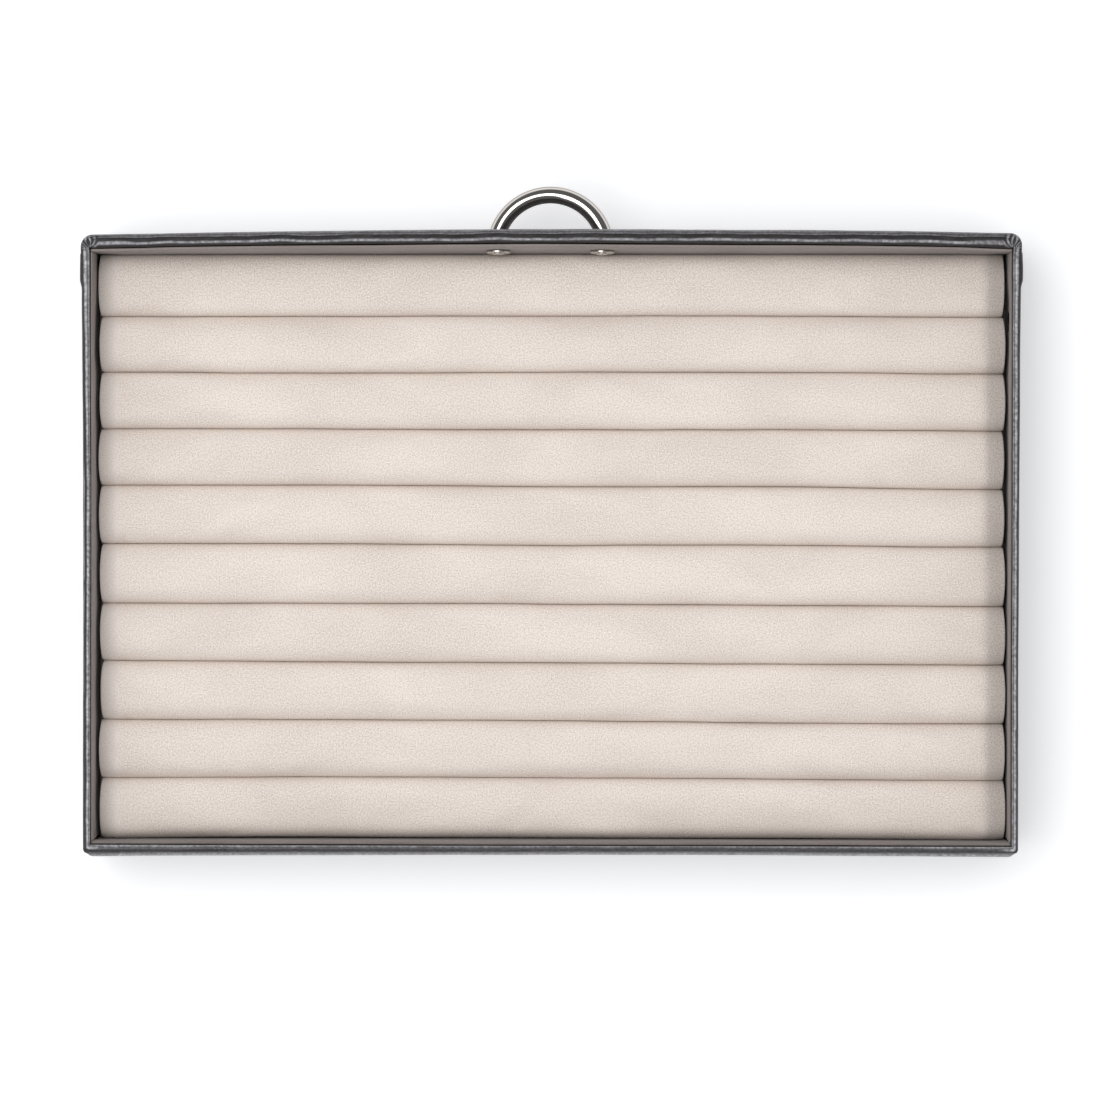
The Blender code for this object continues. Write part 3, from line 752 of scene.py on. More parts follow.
depsgraph = bpy.context.evaluated_depsgraph_get()
for index, roll in enumerate(rolls):
    moved = [
        vert.co / sim_scale for vert in roll.evaluated_get(depsgraph).data.vertices]
    roll.modifiers.clear()
    roll.vertex_groups.clear()
    furthest = set_taut(roll, index, moved)
    print(roll.name, "moved at most", round(furthest / MM, 2), "mm before the cap")
bpy.context.scene.frame_set(1)

# %% [markdown]
# ### Sew the rolls side by side
#
# One subdivision smooths the grid. Then each roll is fitted between its two wandering seams: its
# sides go to the seams and everything between is carried along in proportion, so that neighbours
# meet along the same line with a hair's breadth between them. A roll is a trace fatter than its
# place, and what is too much goes flat against the neighbour, as soft rolls do. The front roll has
# a stiff card for a neighbour, and its shoulder is fuller there. No two rolls are cut to quite the
# same length either, so a table says how much is missing at each end, or is too much, below zero.

# %% Fit each roll between its seams
end_limits = -166.9 * MM, 166.55 * MM
full_shoulder = 0.55
uneven_end = 25 * MM
short_ends = (  # from the front roll to the back one, how much is missing at -X and at +X
    (0.04, 0.01), (-0.34, 0.38), (-0.34, 0.40), (0.04, 0.0), (-0.02, 0.15),
    (-0.32, 0.45), (-0.40, 0.51), (-0.50, 0.73), (-0.34, 0.11), (-0.58, 0.33),
)


def fit_roll(piece, index):
    low = block_front + index * roll_pitch
    room = slot_room / roll_pitch
    for vert in piece.data.vertices:
        near_end = clamped((abs(vert.co.x) - (roll_reach - uneven_end)) / uneven_end)
        short = short_ends[index][0 if vert.co.x < 0 else 1] * near_end ** 2 * MM
        vert.co.x += short if vert.co.x < 0 else -short
        share = (vert.co.y - low) / roll_pitch
        if index == 0:
            share *= 1 - full_shoulder * (1 - share) ** 6
        share = clamped(share, room, 1 - room)
        x = clamped(vert.co.x, *end_limits)
        wander = seam_offset(index, x) * (1 - share) + seam_offset(index + 1, x) * share
        vert.co = (x, low + share * roll_pitch + wander, max(vert.co.z, roll_base))


for index, roll in enumerate(rolls):
    smoother = roll.modifiers.new("smooth", "SUBSURF")
    smoother.levels = smoother.render_levels = 1
    fit_roll(baked(roll), index)
print("fitted", len(rolls), "rolls with", len(rolls[0].data.vertices), "vertices each")

# %% [markdown]
# ### Dress the rolls
#
# Near the ends of the rolls the suede gets painted shade at the -X end, beside its wall, and
# painted light at the +X end. An attribute says where, from 1 for full painted shade to -1 for full
# painted light, along a ragged line, and the suede finish reads it.

# %% Mark the ends and dress the rolls
end_shade_length = 8.9
end_shade_blend = 4.6
end_shade_at_ends = 0.92, -0.5


def paint_end_shade(piece):
    """Mark where the suede gets painted shade, up to 1, or painted light, down to -1."""
    layer = piece.data.attributes.new("pressed", "FLOAT", "POINT")
    for vert in piece.data.vertices:
        from_end = (roll_reach - abs(vert.co.x)) / MM
        ragged = noise.noise((vert.co.x / (9 * MM), vert.co.y / (5 * MM), 1.7)) * 1.2
        share = eased(clamped((end_shade_length + ragged - from_end) / end_shade_blend))
        layer.data[vert.index].value = share * end_shade_at_ends[0 if vert.co.x < 0 else 1]


for index, roll in enumerate(rolls):
    paint_end_shade(roll)
    finish_piece(roll, suede, "suede", f"ring_roll_{index + 1:02d}")

# %% [markdown]
# ## Growing pieces with Geometry Nodes
#
# The foam bars repeat on a line, the bow follows an arc, and the pull has two of everything. Such
# pieces are grown by a node tree, whose sizes are named inputs. The class below starts such a
# tree, ends it the same way each time and turns what it grows into a plain mesh.

# %% Helpers for grown pieces


class GrowingTree(Network):
    """A Geometry Nodes tree with named inputs, which grows one piece."""

    def __init__(self, name, sizes, other_inputs=()):
        super().__init__(bpy.data.node_groups.new(name, "GeometryNodeTree"))
        self.tree.interface.new_socket(
            "Geometry", in_out="OUTPUT", socket_type="NodeSocketGeometry")
        self.values = {}
        kinds = [(key, "NodeSocketInt" if isinstance(value, int) else "NodeSocketFloat", value)
                 for key, value in sizes.items()]
        for key, kind, value in [*kinds, *other_inputs]:
            socket = self.tree.interface.new_socket(key, in_out="INPUT", socket_type=kind)
            self.values[socket.identifier] = value
        self.inputs = self.tree.nodes.new("NodeGroupInput").outputs

    def place(self, x=0.0, y=0.0, z=0.0):
        return self.add("ShaderNodeCombineXYZ", {0: x, 1: y, 2: z}).outputs[0]

    def grow(self, name, geometry, finish):
        """End the tree, grow it on an empty mesh and keep the result as a plain mesh."""
        real = self.add("GeometryNodeRealizeInstances", {0: geometry})
        dressed = self.add("GeometryNodeSetMaterial", {0: real.outputs[0], "Material": finish})
        end = self.tree.nodes.new("NodeGroupOutput")
        self.tree.links.new(dressed.outputs[0], end.inputs[0])
        piece = new_piece(name, bmesh.new())
        modifier = piece.modifiers.new(name, "NODES")
        modifier.node_group = self.tree
        for identifier, value in self.values.items():
            modifier[identifier] = value
        return baked(piece)


print("trees can grow")

# %% [markdown]
# ### Foam bars
#
# Inside each roll is a bar of foam. Nobody sees it, but it is what the ring stands in, so it is
# here with its rounded top. One block is divided, its top is drawn down towards the long edges
# with the same superellipse as the suede, and the block is repeated once for each roll.

# %% Grow the foam bars
foam_low, foam_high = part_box("roll_foam_01")
foam_tree = GrowingTree("foam_bars", {
    "Length": foam_high.x - foam_low.x - 3 * MM, "Width": foam_high.y - foam_low.y - 1 * MM,
    "Height": foam_high.z - foam_low.z - 1.4 * MM, "Pitch": roll_pitch, "Count": roll_count,
    "First Y": (foam_low.y + foam_high.y) / 2, "Foot": foam_low.z, "Crown": 7.6 * MM,
    "End Start": roll_reach - end_length - 1 * MM, "End Slope": 0.8,
})
foam_in, maths = foam_tree.inputs, foam_tree.maths
block = foam_tree.add("GeometryNodeMeshCube", {
    "Size": foam_tree.place(foam_in["Length"], foam_in["Width"], foam_in["Height"]),
    "Vertices X": 90, "Vertices Y": 17, "Vertices Z": 5})
spot = foam_tree.add("ShaderNodeSeparateXYZ", {
    0: foam_tree.add("GeometryNodeInputPosition").outputs[0]}).outputs
half_height = maths("MULTIPLY", foam_in["Height"], 0.5)
across = maths("ABSOLUTE", maths("DIVIDE", spot[1], maths("MULTIPLY", foam_in["Width"], 0.5)))
below = maths("MAXIMUM", maths("SUBTRACT", 1.0, maths("POWER", across, crown_power)), 0.0)
fullness = maths("POWER", below, 1 / crown_power)
crown_sink = maths("MULTIPLY", foam_in["Crown"], maths("SUBTRACT", 1.0, fullness))
past_end = maths("SUBTRACT", maths("ABSOLUTE", spot[0]), foam_in["End Start"])
end_sink = maths("MULTIPLY", maths("MAXIMUM", past_end, 0.0), foam_in["End Slope"])
sink = maths("ADD", crown_sink, end_sink)
raised = maths("DIVIDE", maths("ADD", spot[2], half_height), foam_in["Height"])
lowered = maths("MULTIPLY", maths("MULTIPLY", raised, sink), -1.0)
crowned = foam_tree.add("GeometryNodeSetPosition", {
    "Geometry": block.outputs["Mesh"], "Offset": foam_tree.place(z=lowered)})
middle_height = maths("ADD", foam_in["Foot"], half_height)
row = foam_tree.add("GeometryNodeMeshLine", {
    "Count": foam_in["Count"],
    "Start Location": foam_tree.place(0.0, foam_in["First Y"], middle_height),
    "Offset": foam_tree.place(0.0, foam_in["Pitch"], 0.0)})
bars = foam_tree.add("GeometryNodeInstanceOnPoints", {
    "Points": row.outputs[0], "Instance": crowned.outputs[0]})
foam_bars = foam_tree.grow("foam_bars", bars.outputs[0], open_foam)
finish_piece(foam_bars, open_foam, "foam",
             *(f"roll_foam_{n + 1:02d}" for n in range(roll_count)), smooth=40)

# %% [markdown]
# ## The bow pull
#
# The pull is a round bar bent to an arc that lies level, with its two feet flat against the front
# wall. Along an arc, a circle for a profile gives exactly that, and the ends are then sliced off at
# the wall's plane and drilled for the screws.

# %% Grow the bow
bow_low, bow_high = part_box("handle_bow")
bow_height = (bow_low.z + bow_high.z) / 2
bow_bar = bow_high.z - bow_low.z
bow_radius = 20.3 * MM
bow_centre_y = bow_low.y + bow_bar / 2 + bow_radius
bow_foot = bow_high.y
screw_low, screw_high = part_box("handle_screw_right")
screw_x = abs(screw_low.x + screw_high.x) / 2
bow_tree = GrowingTree("bow", {
    "Radius": bow_radius, "Bar Radius": bow_bar / 2, "Centre Y": bow_centre_y,
    "Height": bow_height, "Start": math.radians(180 + 8), "Sweep": math.radians(180 - 16),
    "Steps": 96, "Sides": 40,
})
bow_in = bow_tree.inputs
arc = bow_tree.add("GeometryNodeCurveArc", {
    "Resolution": bow_in["Steps"], "Radius": bow_in["Radius"], "Start Angle": bow_in["Start"],
    "Sweep Angle": bow_in["Sweep"]})
round_bar = bow_tree.add("GeometryNodeCurvePrimitiveCircle", {
    "Resolution": bow_in["Sides"], "Radius": bow_in["Bar Radius"]})
bent = bow_tree.add("GeometryNodeCurveToMesh", {
    "Curve": arc.outputs[0], "Profile Curve": round_bar.outputs[0], "Fill Caps": True})
set_level = bow_tree.add("GeometryNodeTransform", {
    "Geometry": bent.outputs[0],
    "Translation": bow_tree.place(0.0, bow_in["Centre Y"], bow_in["Height"])})
bow = bow_tree.grow("chrome_bow", set_level.outputs[0], chrome)
print("bow, inner radius", round((bow_radius - bow_bar / 2) / MM, 1), "mm")

# %% [markdown]
# ### Cut its feet
#
# A bore or a recess is cut with a plain solid that is taken away from the piece. A solid that is
# turned, as on a lathe, follows from its profile alone, and the same helper turns the screws.

# %% Slice the feet and drill them
weld = 0.001 * MM
bore = 1.75 * MM


def turned(profile, sides):
    """Turn a profile of (distance along -Y, radius) about the Y axis into a closed solid."""
    bm = bmesh.new()
    rings = []
    for along, radius in profile:
        turns = [2 * math.pi * i / sides for i in range(sides if radius > 1e-6 else 1)]
        rings.append([bm.verts.new((radius * math.cos(turn), -along, radius * math.sin(turn)))
                      for turn in turns])
    for a, b in zip(rings, rings[1:]):
        for i in range(sides):
            j = (i + 1) % sides
            corners = [a[i % len(a)], a[j % len(a)], b[j % len(b)], b[i % len(b)]]
            bm.faces.new(list(dict.fromkeys(corners)))
    bmesh.ops.recalc_face_normals(bm, faces=bm.faces)
    return bm


def drill(piece, at_y, start, depth, point=0.0):
    """Cut a screw's bore into a piece, along -Y, at both of the bow's feet."""
    profile = [(start, 0), (start, bore), (depth, bore), (depth + point, 0)]
    drills = []
    for side in (-1, 1):
        bm = turned(profile, 32)
        bmesh.ops.translate(bm, verts=bm.verts, vec=(side * screw_x, at_y, bow_height))
        drills.append(new_piece("drill", bm))
    cut_out(piece, drills)


def slice_at_wall(piece):
    """Slice off what goes past the front wall's plane, and close the cuts."""
    bm = bmesh.new()
    bm.from_mesh(piece.data)
    bmesh.ops.remove_doubles(bm, verts=bm.verts, dist=weld)
    cut = bmesh.ops.bisect_plane(
        bm, geom=bm.verts[:] + bm.edges[:] + bm.faces[:], plane_co=(0, bow_foot, 0),
        plane_no=(0, 1, 0), clear_outer=True)
    edges = [item for item in cut["geom_cut"] if isinstance(item, bmesh.types.BMEdge)]
    bmesh.ops.holes_fill(bm, edges=edges)
    bmesh.ops.recalc_face_normals(bm, faces=bm.faces)
    bm.to_mesh(piece.data)
    bm.free()


slice_at_wall(bow)
drill(bow, bow_foot, -0.6 * MM, 2.2 * MM, point=0.5 * bore)
finish_piece(bow, chrome, "chrome", "handle_bow", smooth=40)

# %% [markdown]
# ## Screws and washers
#
# Two screws come through the front wall from inside and hold the bow. Each has a low domed head
# with a cross recess, and sits on a wide washer. One screw and one washer are turned from their
# profiles, as a lathe would do it, and a node tree then sets a copy at each hole.

# %% The profiles of a screw and a washer
washer_low, washer_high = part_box("washer_right")
head_seat = washer_high.y
head_height = 0.54 * MM
head_radius = 2.5 * MM
washer_radius = (washer_high.x - washer_low.x) / 2
washer_thickness = washer_high.y - washer_low.y
shank = 1.5 * MM
thread_pitch = 0.5 * MM
thread_depth = 0.22 * MM
reach = head_seat - screw_low.y


def screw_profile():
    """From the crown of the head down its edge, along the threaded shank to the point."""
    rows = [(-head_height, 0.0)]
    for i in range(1, 9):
        angle = math.radians(90 * i / 8)
        rows.append((-head_height * (0.28 + 0.72 * math.cos(angle) ** 0.8),
                     head_radius * math.sin(angle)))
    rows += [(-0.06 * MM, head_radius), (0.0, head_radius - 0.06 * MM), (0.0, shank)]
    root = shank - thread_depth
    for i in range(int((reach - 1.2 * MM) / thread_pitch)):
        start = 0.3 * MM + i * thread_pitch
        rows += [(start, shank), (start + 0.2 * MM, root), (start + 0.3 * MM, root)]
    return rows + [(reach - 0.3 * MM, shank), (reach, shank - 0.3 * MM), (reach, 0.0)]


def washer_profile():
    """Round the washer's section: out along the face against the wall and back over the other."""
    hole = shank + 0.25 * MM
    edge = 0.16 * MM
    far, near = washer_thickness, 0.0
    outline = [(near, hole + edge), (near, washer_radius - edge), (near + edge, washer_radius),
               (far - edge, washer_radius), (far, washer_radius - edge), (far, hole + edge),
               (far - edge, hole), (near + edge, hole)]
    return outline + outline[:1]


print("a screw is", round((reach + head_height) / MM, 1), "mm long")

# %% Turn one screw and one washer
cross_arm = 1.35 * MM
cross_width = 0.3 * MM
cross_depth = 0.42 * MM
cross_taper = 0.55


def cross_recess(piece):
    """Cut the cross for the screwdriver into the head."""
    bits = []
    for long_x, long_z in ((cross_arm, cross_width), (cross_width, cross_arm)):
        bm = bmesh.new()
        bmesh.ops.create_cube(bm, size=2)
        bmesh.ops.scale(bm, verts=bm.verts, vec=(long_x, cross_depth, long_z))
        for vert in bm.verts:
            if vert.co.y < 0:
                vert.co.x *= cross_taper
                vert.co.z *= cross_taper
        bmesh.ops.translate(bm, verts=bm.verts, vec=(0, head_height, 0))
        bits.append(new_piece("bit", bm))
    cut_out(piece, bits)


washer_bm = turned(washer_profile(), 64)
bmesh.ops.remove_doubles(washer_bm, verts=washer_bm.verts, dist=weld)
bmesh.ops.recalc_face_normals(washer_bm, faces=washer_bm.faces)
one_screw = new_piece("one_screw", turned(screw_profile(), 48))
one_washer = new_piece("one_washer", washer_bm)
cross_recess(one_screw)
print("screw", len(one_screw.data.polygons), "faces, washer", len(one_washer.data.polygons))

# %% Set them at the two holes


def pair(name, master, turn):
    """A copy of the master at each hole, the right one turned by an angle in degrees."""
    tree = GrowingTree(name, {
        "Spacing": 2 * screw_x, "Height": bow_height, "Seat Y": head_seat,
        "Turn": math.radians(turn),
    }, other_inputs=(("Master", "NodeSocketObject", master),))
    sizes = tree.inputs
    left = tree.maths("MULTIPLY", sizes["Spacing"], -0.5)
    holes = tree.add("GeometryNodeMeshLine", {
        "Count": 2, "Start Location": tree.place(left, sizes["Seat Y"], sizes["Height"]),
        "Offset": tree.place(sizes["Spacing"], 0.0, 0.0)})
    shape = tree.add("GeometryNodeObjectInfo", {"Object": sizes["Master"]})
    number = tree.add("GeometryNodeInputIndex").outputs[0]
    set_in = tree.add("GeometryNodeInstanceOnPoints", {
        "Points": holes.outputs[0], "Instance": shape.outputs["Geometry"],
        "Rotation": tree.place(0.0, tree.maths("MULTIPLY", number, sizes["Turn"]), 0.0)})
    made = tree.grow(name, set_in.outputs[0], steel)
    bpy.data.objects.remove(master, do_unlink=True)
    return made


pull_screws = pair("pull_screws", one_screw, 31)
pull_washers = pair("pull_washers", one_washer, 0)
finish_piece(pull_screws, steel, "steel", "handle_screw_left", "handle_screw_right", smooth=35)
finish_piece(pull_washers, steel, "steel", "washer_left", "washer_right", smooth=35)

# %% [markdown]
# ## The leather
#
# Two pieces of leather dress the walls. The front piece covers the front wall, goes over its wide
# rim and round both corners as a flap. The other runs along one side, the back and the other side,
# and laps over those flaps. Both turn in over the rim and down behind the lining, and under the
# base. The section below is drawn as points that say how far in from the face, how high, and how
# much painted highlight, above 0, or painted shade, below 0, it gets, first on the front rim and
# then on the thin rims. On the front a soft outer edge is followed by a hollow with painted shade
# and a ridge with a painted highlight; the thin rims have one broad ridge, a small hollow and a
# second, narrow ridge beside the lining.

# %% [markdown]
# ### Walls that stand a little astray
#
# This case was made by hand, and its walls aren't quite square: one side leans out by more than a
# millimetre at its front corner, the other draws in a little towards the middle, and the front and
# back aren't quite straight. The tables give that, in millimetres at rim height, and it fades to
# nothing at the foot. The lining and the turned-in leather go their own way, because the boards
# are between them and the outer face: at the +X wall they stand a third of a millimetre further
# in, which makes that rim wider, and so they do along most of the front.

# %% Let the walls stray
side_drift = (  # place from front to back, outwards at the -X wall, outwards at the +X wall
    (-113, 1.42, 0.72), (-106, 1.42, 0.70), (-99, 1.13, 0.26), (-91, 1.00, 0.27), (-74, 0.76, 0.16),
    (-58, 0.66, 0.06), (-42, 0.66, -0.06), (-10, 0.48, -0.20), (21, 0.30, -0.16), (53, 0.20, -0.10),
    (112, 0.18, 0.00),
)
front_drift = (  # place along the front, outwards at its face, outwards at its inner edge
    (-167, 0.30, -0.66), (-160, 0.31, -0.48), (-150, 0.32, -0.22), (-127, 0.33, -0.12),
    (-95, 0.19, -0.14), (-64, 0.05, -0.28), (-36, 0.05, -0.28), (0, 0.05, -0.06),
    (32, 0.05, -0.16), (64, -0.15, -0.28), (91, -0.16, -0.17), (138, -0.19, -0.20),
    (147, -0.19, -0.36), (167, -0.10, -0.40),
)
back_drift = (  # place along the back, outwards at its face, outwards at its inner edge
    (-167, 0.40, 0.18), (-127, 0.28, 0.18), (-90, 0.08, 0.12), (-18, 0.02, 0.10), (18, 0.20, 0.10),
    (91, 0.38, 0.06), (127, 0.50, 0.02), (146, 0.58, 0.0), (167, 0.86, 0.0),
)
most_inside = 0.38
wide_rim = 0.36
rim_height = 46.0
side_from, side_blend = 150, 16  # how far from the middle the straying begins, and how fast
end_from, end_blend = 98, 8


def hand_drift(point, depth):
    """How far the hand-made case strays at a point. depth is 0 on its outer face and 1 inside."""
    x, y, z = (value / MM for value in point)
    outside = read_table(side_drift, y)[0 if x < 0 else 1]
    inside = min(outside, most_inside) if x < 0 else -wide_rim
    side = outside * (1 - depth) + inside * depth
    side *= clamped((abs(x) - side_from) / side_blend) ** 2
    face, edge = read_table(front_drift if y < 0 else back_drift, x)
    across = (face * (1 - depth) + edge * depth) * clamped((abs(y) - end_from) / end_blend)
    height = min(z / rim_height, 1)
    return Vector((-side if x < 0 else side, across if y > 0 else -across, 0)) * height * MM


print("the walls stray by up to", max(max(row[1:]) for row in side_drift), "mm")

# %% [markdown]
# ### The leather's section
#
# The points below are the section's control points, and a smooth line is drawn through them.

# %% Draw the leather's section
front_rim = 4.7 * MM
thin_rim = 2.5 * MM
front_corner = 4.4 * MM
back_corner = 1.4 * MM
split_gap = 0.09 * MM
corner_run = 6.4 * MM
# The third and the last columns are painted light and shade: above 0 a painted highlight, below 0
# painted shade.
rim_points = (  # on the front rim: how far in, how high, how polished; then on the thin rims
    (0.00, 44.00, 0.1, 0.00, 44.20, -0.5), (0.06, 44.90, 0.2, 0.10, 45.10, -0.6),
    (0.22, 45.50, 0.25, 0.30, 45.72, -0.5), (0.55, 46.02, 0.25, 0.60, 46.08, -0.3),
    (0.85, 46.22, 0.1, 0.84, 46.26, 0.1), (1.12, 46.40, 0.25, 1.04, 46.42, 0.8),
    (1.35, 46.46, 0.3, 1.24, 46.49, 1.0), (1.60, 46.32, -0.2, 1.44, 46.49, 1.0),
    (1.85, 46.13, -0.8, 1.62, 46.42, 0.8), (2.45, 46.10, -0.8, 1.78, 46.30, 0.35),
    (2.75, 46.20, -0.1, 1.90, 46.26, 0.2), (3.00, 46.38, 0.45, 2.02, 46.33, 0.5),
    (3.35, 46.50, 0.6, 2.12, 46.43, 0.8), (3.72, 46.47, 0.5, 2.22, 46.42, 0.6),
    (4.05, 46.20, -0.1, 2.33, 46.26, 0.4), (4.40, 45.85, -0.5, 2.42, 46.00, 0.2),
    (4.70, 45.20, -0.45, 2.50, 45.40, 0.0),
)
turned_under = ((12.0, 0.85), (9.0, 0.85), (6.5, 0.85), (4.5, 0.85), (3.0, 0.85), (2.0, 0.85),
                (1.0, 0.85), (0.45, 0.93), (0.12, 1.2))  # how far in, how high
wall_heights = 1.65, 5, 10, 15, 20, 25, 29, 33, 36, 38.5, 41, 43
inner_heights = 44.4, 43.0, 41.0, 38.5, 36.5
# Painted shade down inside the rim, in the slot beside the lining.
inner_shade = -0.6


def section_rows():
    """The whole section from under the base, up the wall, over the rim and down inside.

    Each row has its part, how far in and how high it is on the front and on the thin rims, and how
    much painted highlight or painted shade it gets on both.
    """
    rows = [("foot", inset * MM, height * MM, inset * MM, height * MM, 0, 0)
            for inset, height in turned_under]
    rows += [("wall", 0, height * MM, 0, height * MM, 0, 0) for height in wall_heights]
    for inset, height, wear, thin_inset, thin_height, thin_sheen in smooth_line(rim_points, 3):
        rows.append(("rim", inset * MM, height * MM, thin_inset * MM, thin_height * MM,
                     wear, thin_sheen))
    rows += [("inner", front_rim, height * MM, thin_rim, height * MM, inner_shade, inner_shade)
             for height in inner_heights]
    return rows


leather_rows = section_rows()
print("leather section", len(leather_rows), "rows")

# %% [markdown]
# ### The leather's stations
#
# The section is carried round the case from station to station. A station is a place on the outer
# face with its partner on the inner edge of the rim, so at the front corners, where a wide rim
# meets a thin one, the stations fan out evenly and both leathers end along the same mitre.

# %% Helpers for stations
board_corner = 3.3 * MM
mitre_angle = 45 - math.degrees(split_gap / front_corner)
front_heart = Vector((half_length - thin_rim, front_rim - half_depth))  # the mitre's inner end


class Station:
    """A place on the outer face with its partner inside, and what shapes the leather there."""

    def __init__(self, outer, inner, side, end, radius=0, angle=0, lift=0, mitre=0):
        self.outer, self.inner = outer, inner
        self.side, self.end = side, end  # which way it faces along X and Y: -1, 0 or 1
        self.radius, self.angle = radius, angle  # of the corner, the angle in degrees
        self.lift, self.mitre = lift, mitre  # of the lap, and how near the mitre is, 0 to 1

    def mirrored(self):
        outer, inner = (place and Vector((-place.x, place.y)) for place in (self.outer, self.inner))
        return Station(outer, inner, -self.side, self.end, self.radius, self.angle, self.lift,
                       self.mitre)


def front_bow_at(x):
    return front_bow * max(1 - (x / (half_length - board_corner)) ** 2, 0)


def corner_outer(end, radius, angle):
    """A point on a rounded right corner: 0 degrees faces the front or back, 90 the side."""
    turn = math.radians(angle)
    return Vector((half_length - radius + radius * math.sin(turn),
                   end * (half_depth - radius + radius * math.cos(turn))))


print("the mitre is at", round(mitre_angle, 1), "degrees")

# %% Lay out the front leather's stations
corner_steps = 14
front_steps = 140
flap_angles = 60, 75, 90
flap_depths = 5.2, 6.5, 8.0, 11.0, 14.5, 17.8


def front_stations():
    """Along the front leather, from the left flap round both corners to the right flap."""
    right = []
    run = corner_run - front_corner
    arc = math.radians(mitre_angle) * front_corner
    rim_start = Vector((half_length - corner_run, front_heart.y))
    rim_end = Vector((front_heart.x - split_gap, front_heart.y))
    for step in range(corner_steps + 1):
        share = step / corner_steps
        along = share * (run + arc)
        angle = max(math.degrees((along - run) / front_corner), 0)
        outer = corner_outer(-1, front_corner, angle)
        outer.x -= max(run - along, 0)
        inner = rim_start.lerp(rim_end, share)
        bow_here = front_bow_at(outer.x)
        outer.y -= bow_here
        inner.y -= bow_here
        right.append(Station(outer, inner, 1, -1, front_corner, angle, mitre=share))
    for angle in flap_angles:
        outer = corner_outer(-1, front_corner, angle)
        right.append(Station(outer, None, 1, -1, front_corner, angle, mitre=1))
    for depth in flap_depths:
        outer = Vector((half_length, depth * MM - half_depth))
        right.append(Station(outer, None, 1, -1, angle=90, mitre=1))
    middle = []
    for step in range(1, front_steps):
        x = (half_length - corner_run) * (2 * step / front_steps - 1)
        face = -half_depth - front_bow_at(x)
        middle.append(Station(Vector((x, face)), Vector((x, face + front_rim)), 0, -1))
    return [station.mirrored() for station in reversed(right)] + middle + right


front_run = front_stations()
print("stations on the front leather", len(front_run))

# %% Lay out the body leather's corners
split_steps = 10
back_corner_steps = 12


def half_corner():
    """From the mitre at the front right corner to where its rounding and its run are over."""
    arc = math.radians(mitre_angle) * front_corner
    rim_start = front_heart + Vector((0, split_gap))
    rim_end = Vector((front_heart.x, corner_run - half_depth))
    stations = []
    for step in range(split_steps + 1):
        share = step / split_steps
        along = share * (arc + corner_run - front_corner)
        if along < arc:
            angle = 90 - mitre_angle + math.degrees(along / front_corner)
            outer = corner_outer(-1, front_corner, angle)
        else:
            angle = 90
            outer = Vector((half_length, front_corner - half_depth + along - arc))
        inner = rim_start.lerp(rim_end, share)
        stations.append(Station(outer, inner, 1, -1, front_corner, angle, mitre=1 - share))
    return stations


def back_right_corner():
    """Round the sharper back right corner, whose mitre lies inside."""
    run = corner_run - back_corner
    arc = math.radians(90) * back_corner
    reach_in = corner_run - thin_rim
    stations = []
    for step in range(1, back_corner_steps):
        along = step / back_corner_steps * (2 * run + arc)
        if along < run:
            angle, outer = 90, Vector((half_length, half_depth - corner_run + along))
        elif along < run + arc:
            angle = 90 - math.degrees((along - run) / back_corner)
            outer = corner_outer(1, back_corner, angle)
        else:
            angle = 0
            outer = Vector((half_length - back_corner - (along - run - arc), half_depth))
        share = 2 * step / back_corner_steps - 1
        inner = Vector((half_length - thin_rim - max(share, 0) * reach_in,
                        half_depth - thin_rim - max(-share, 0) * reach_in))
        stations.append(Station(outer, inner, 1, 1, back_corner, angle))
    return stations


print("a back corner has", len(back_right_corner()), "stations, half a front corner",
      len(half_corner()))

# %% Lay out the body leather's stations
side_steps = 76
back_steps = 136
last_side_place = 2 * half_depth / MM - 6.0
lap_places = (  # how far from the front, how high the lap lifts there
    (6.8, 0), (7.3, 0.35), (8.2, 0.42), (9.5, 0.58), (11, 0.78), (13, 0.95), (15, 1), (16.5, 1),
    (17.3, 0.85), (18.2, 0.5), (19.1, 0.15), (20.0, 0),
)


def body_stations():
    """Along the body leather: right side to the back, across it, and down the left side."""
    half = half_corner()
    plain_places = spread(lap_places[-1][0], last_side_place, side_steps)[1:]
    for depth, lift in [*lap_places, *((place, 0) for place in plain_places)]:
        y = depth * MM - half_depth
        outer, inner = Vector((half_length, y)), Vector((half_length - thin_rim, y))
        half.append(Station(outer, inner, 1, 0, angle=90, lift=lift))
    half += back_right_corner()
    across = []
    for step in range(back_steps + 1):
        x = (half_length - corner_run) * (1 - 2 * step / back_steps)
        across.append(Station(Vector((x, half_depth)), Vector((x, half_depth - thin_rim)), 0, 1))
    return half + across + [station.mirrored() for station in reversed(half)]


body_run = body_stations()
print("stations on the body leather", len(body_run))

# %% [markdown]
# ### Wrap the leather
#
# Each vertex is a station crossed with a row of the section. Leather drawn over board by hand is
# never quite even: the ridges wander by some tenths of a millimetre, the wall swells slightly, and
# at the front corners the spare leather is gathered in small pleats that run out from the inner
# corner. The back wall's leather isn't stretched tight and stands off it, most under the rim.
# All of that comes from smooth noise with fixed offsets, so it is the same each time.

# %% Where the leather stands off
near_back = half_depth - 0.01 * MM
belly_blend = 1.7 * MM
# Further out than this inset, the back rim gets hardly any painted highlight or shade.
sheen_inset = 1.7 * MM  # what lies further out than this on the back rim is hardly polished
sheen_blend = 4 * MM
ridge_in = (  # place from front to back, how much further in the ridge runs on the +X rim
    (-113, -0.10), (-85, 0.0), (-69, 0.18), (-51, 0.22), (-33, 0.50), (11, 0.52), (33, 0.40),
    (106, 0.32),
)
# The belly's last column is a painted highlight on the leather just under the back rim.
belly = (  # height, how far the leather stands off the back wall there, how polished it is
    (0, 0.0, 0.0), (4, 0.0, 0.0), (12, 0.30, 0.0), (25, 0.75, 0.0), (33, 1.10, 0.0),
    (38, 1.32, 0.0), (41, 1.42, 0.1), (43, 1.18, 0.6), (44.2, 0.75, 0.7), (45.2, 0.25, 0.3),
    (46, 0.0, 0.0),
)


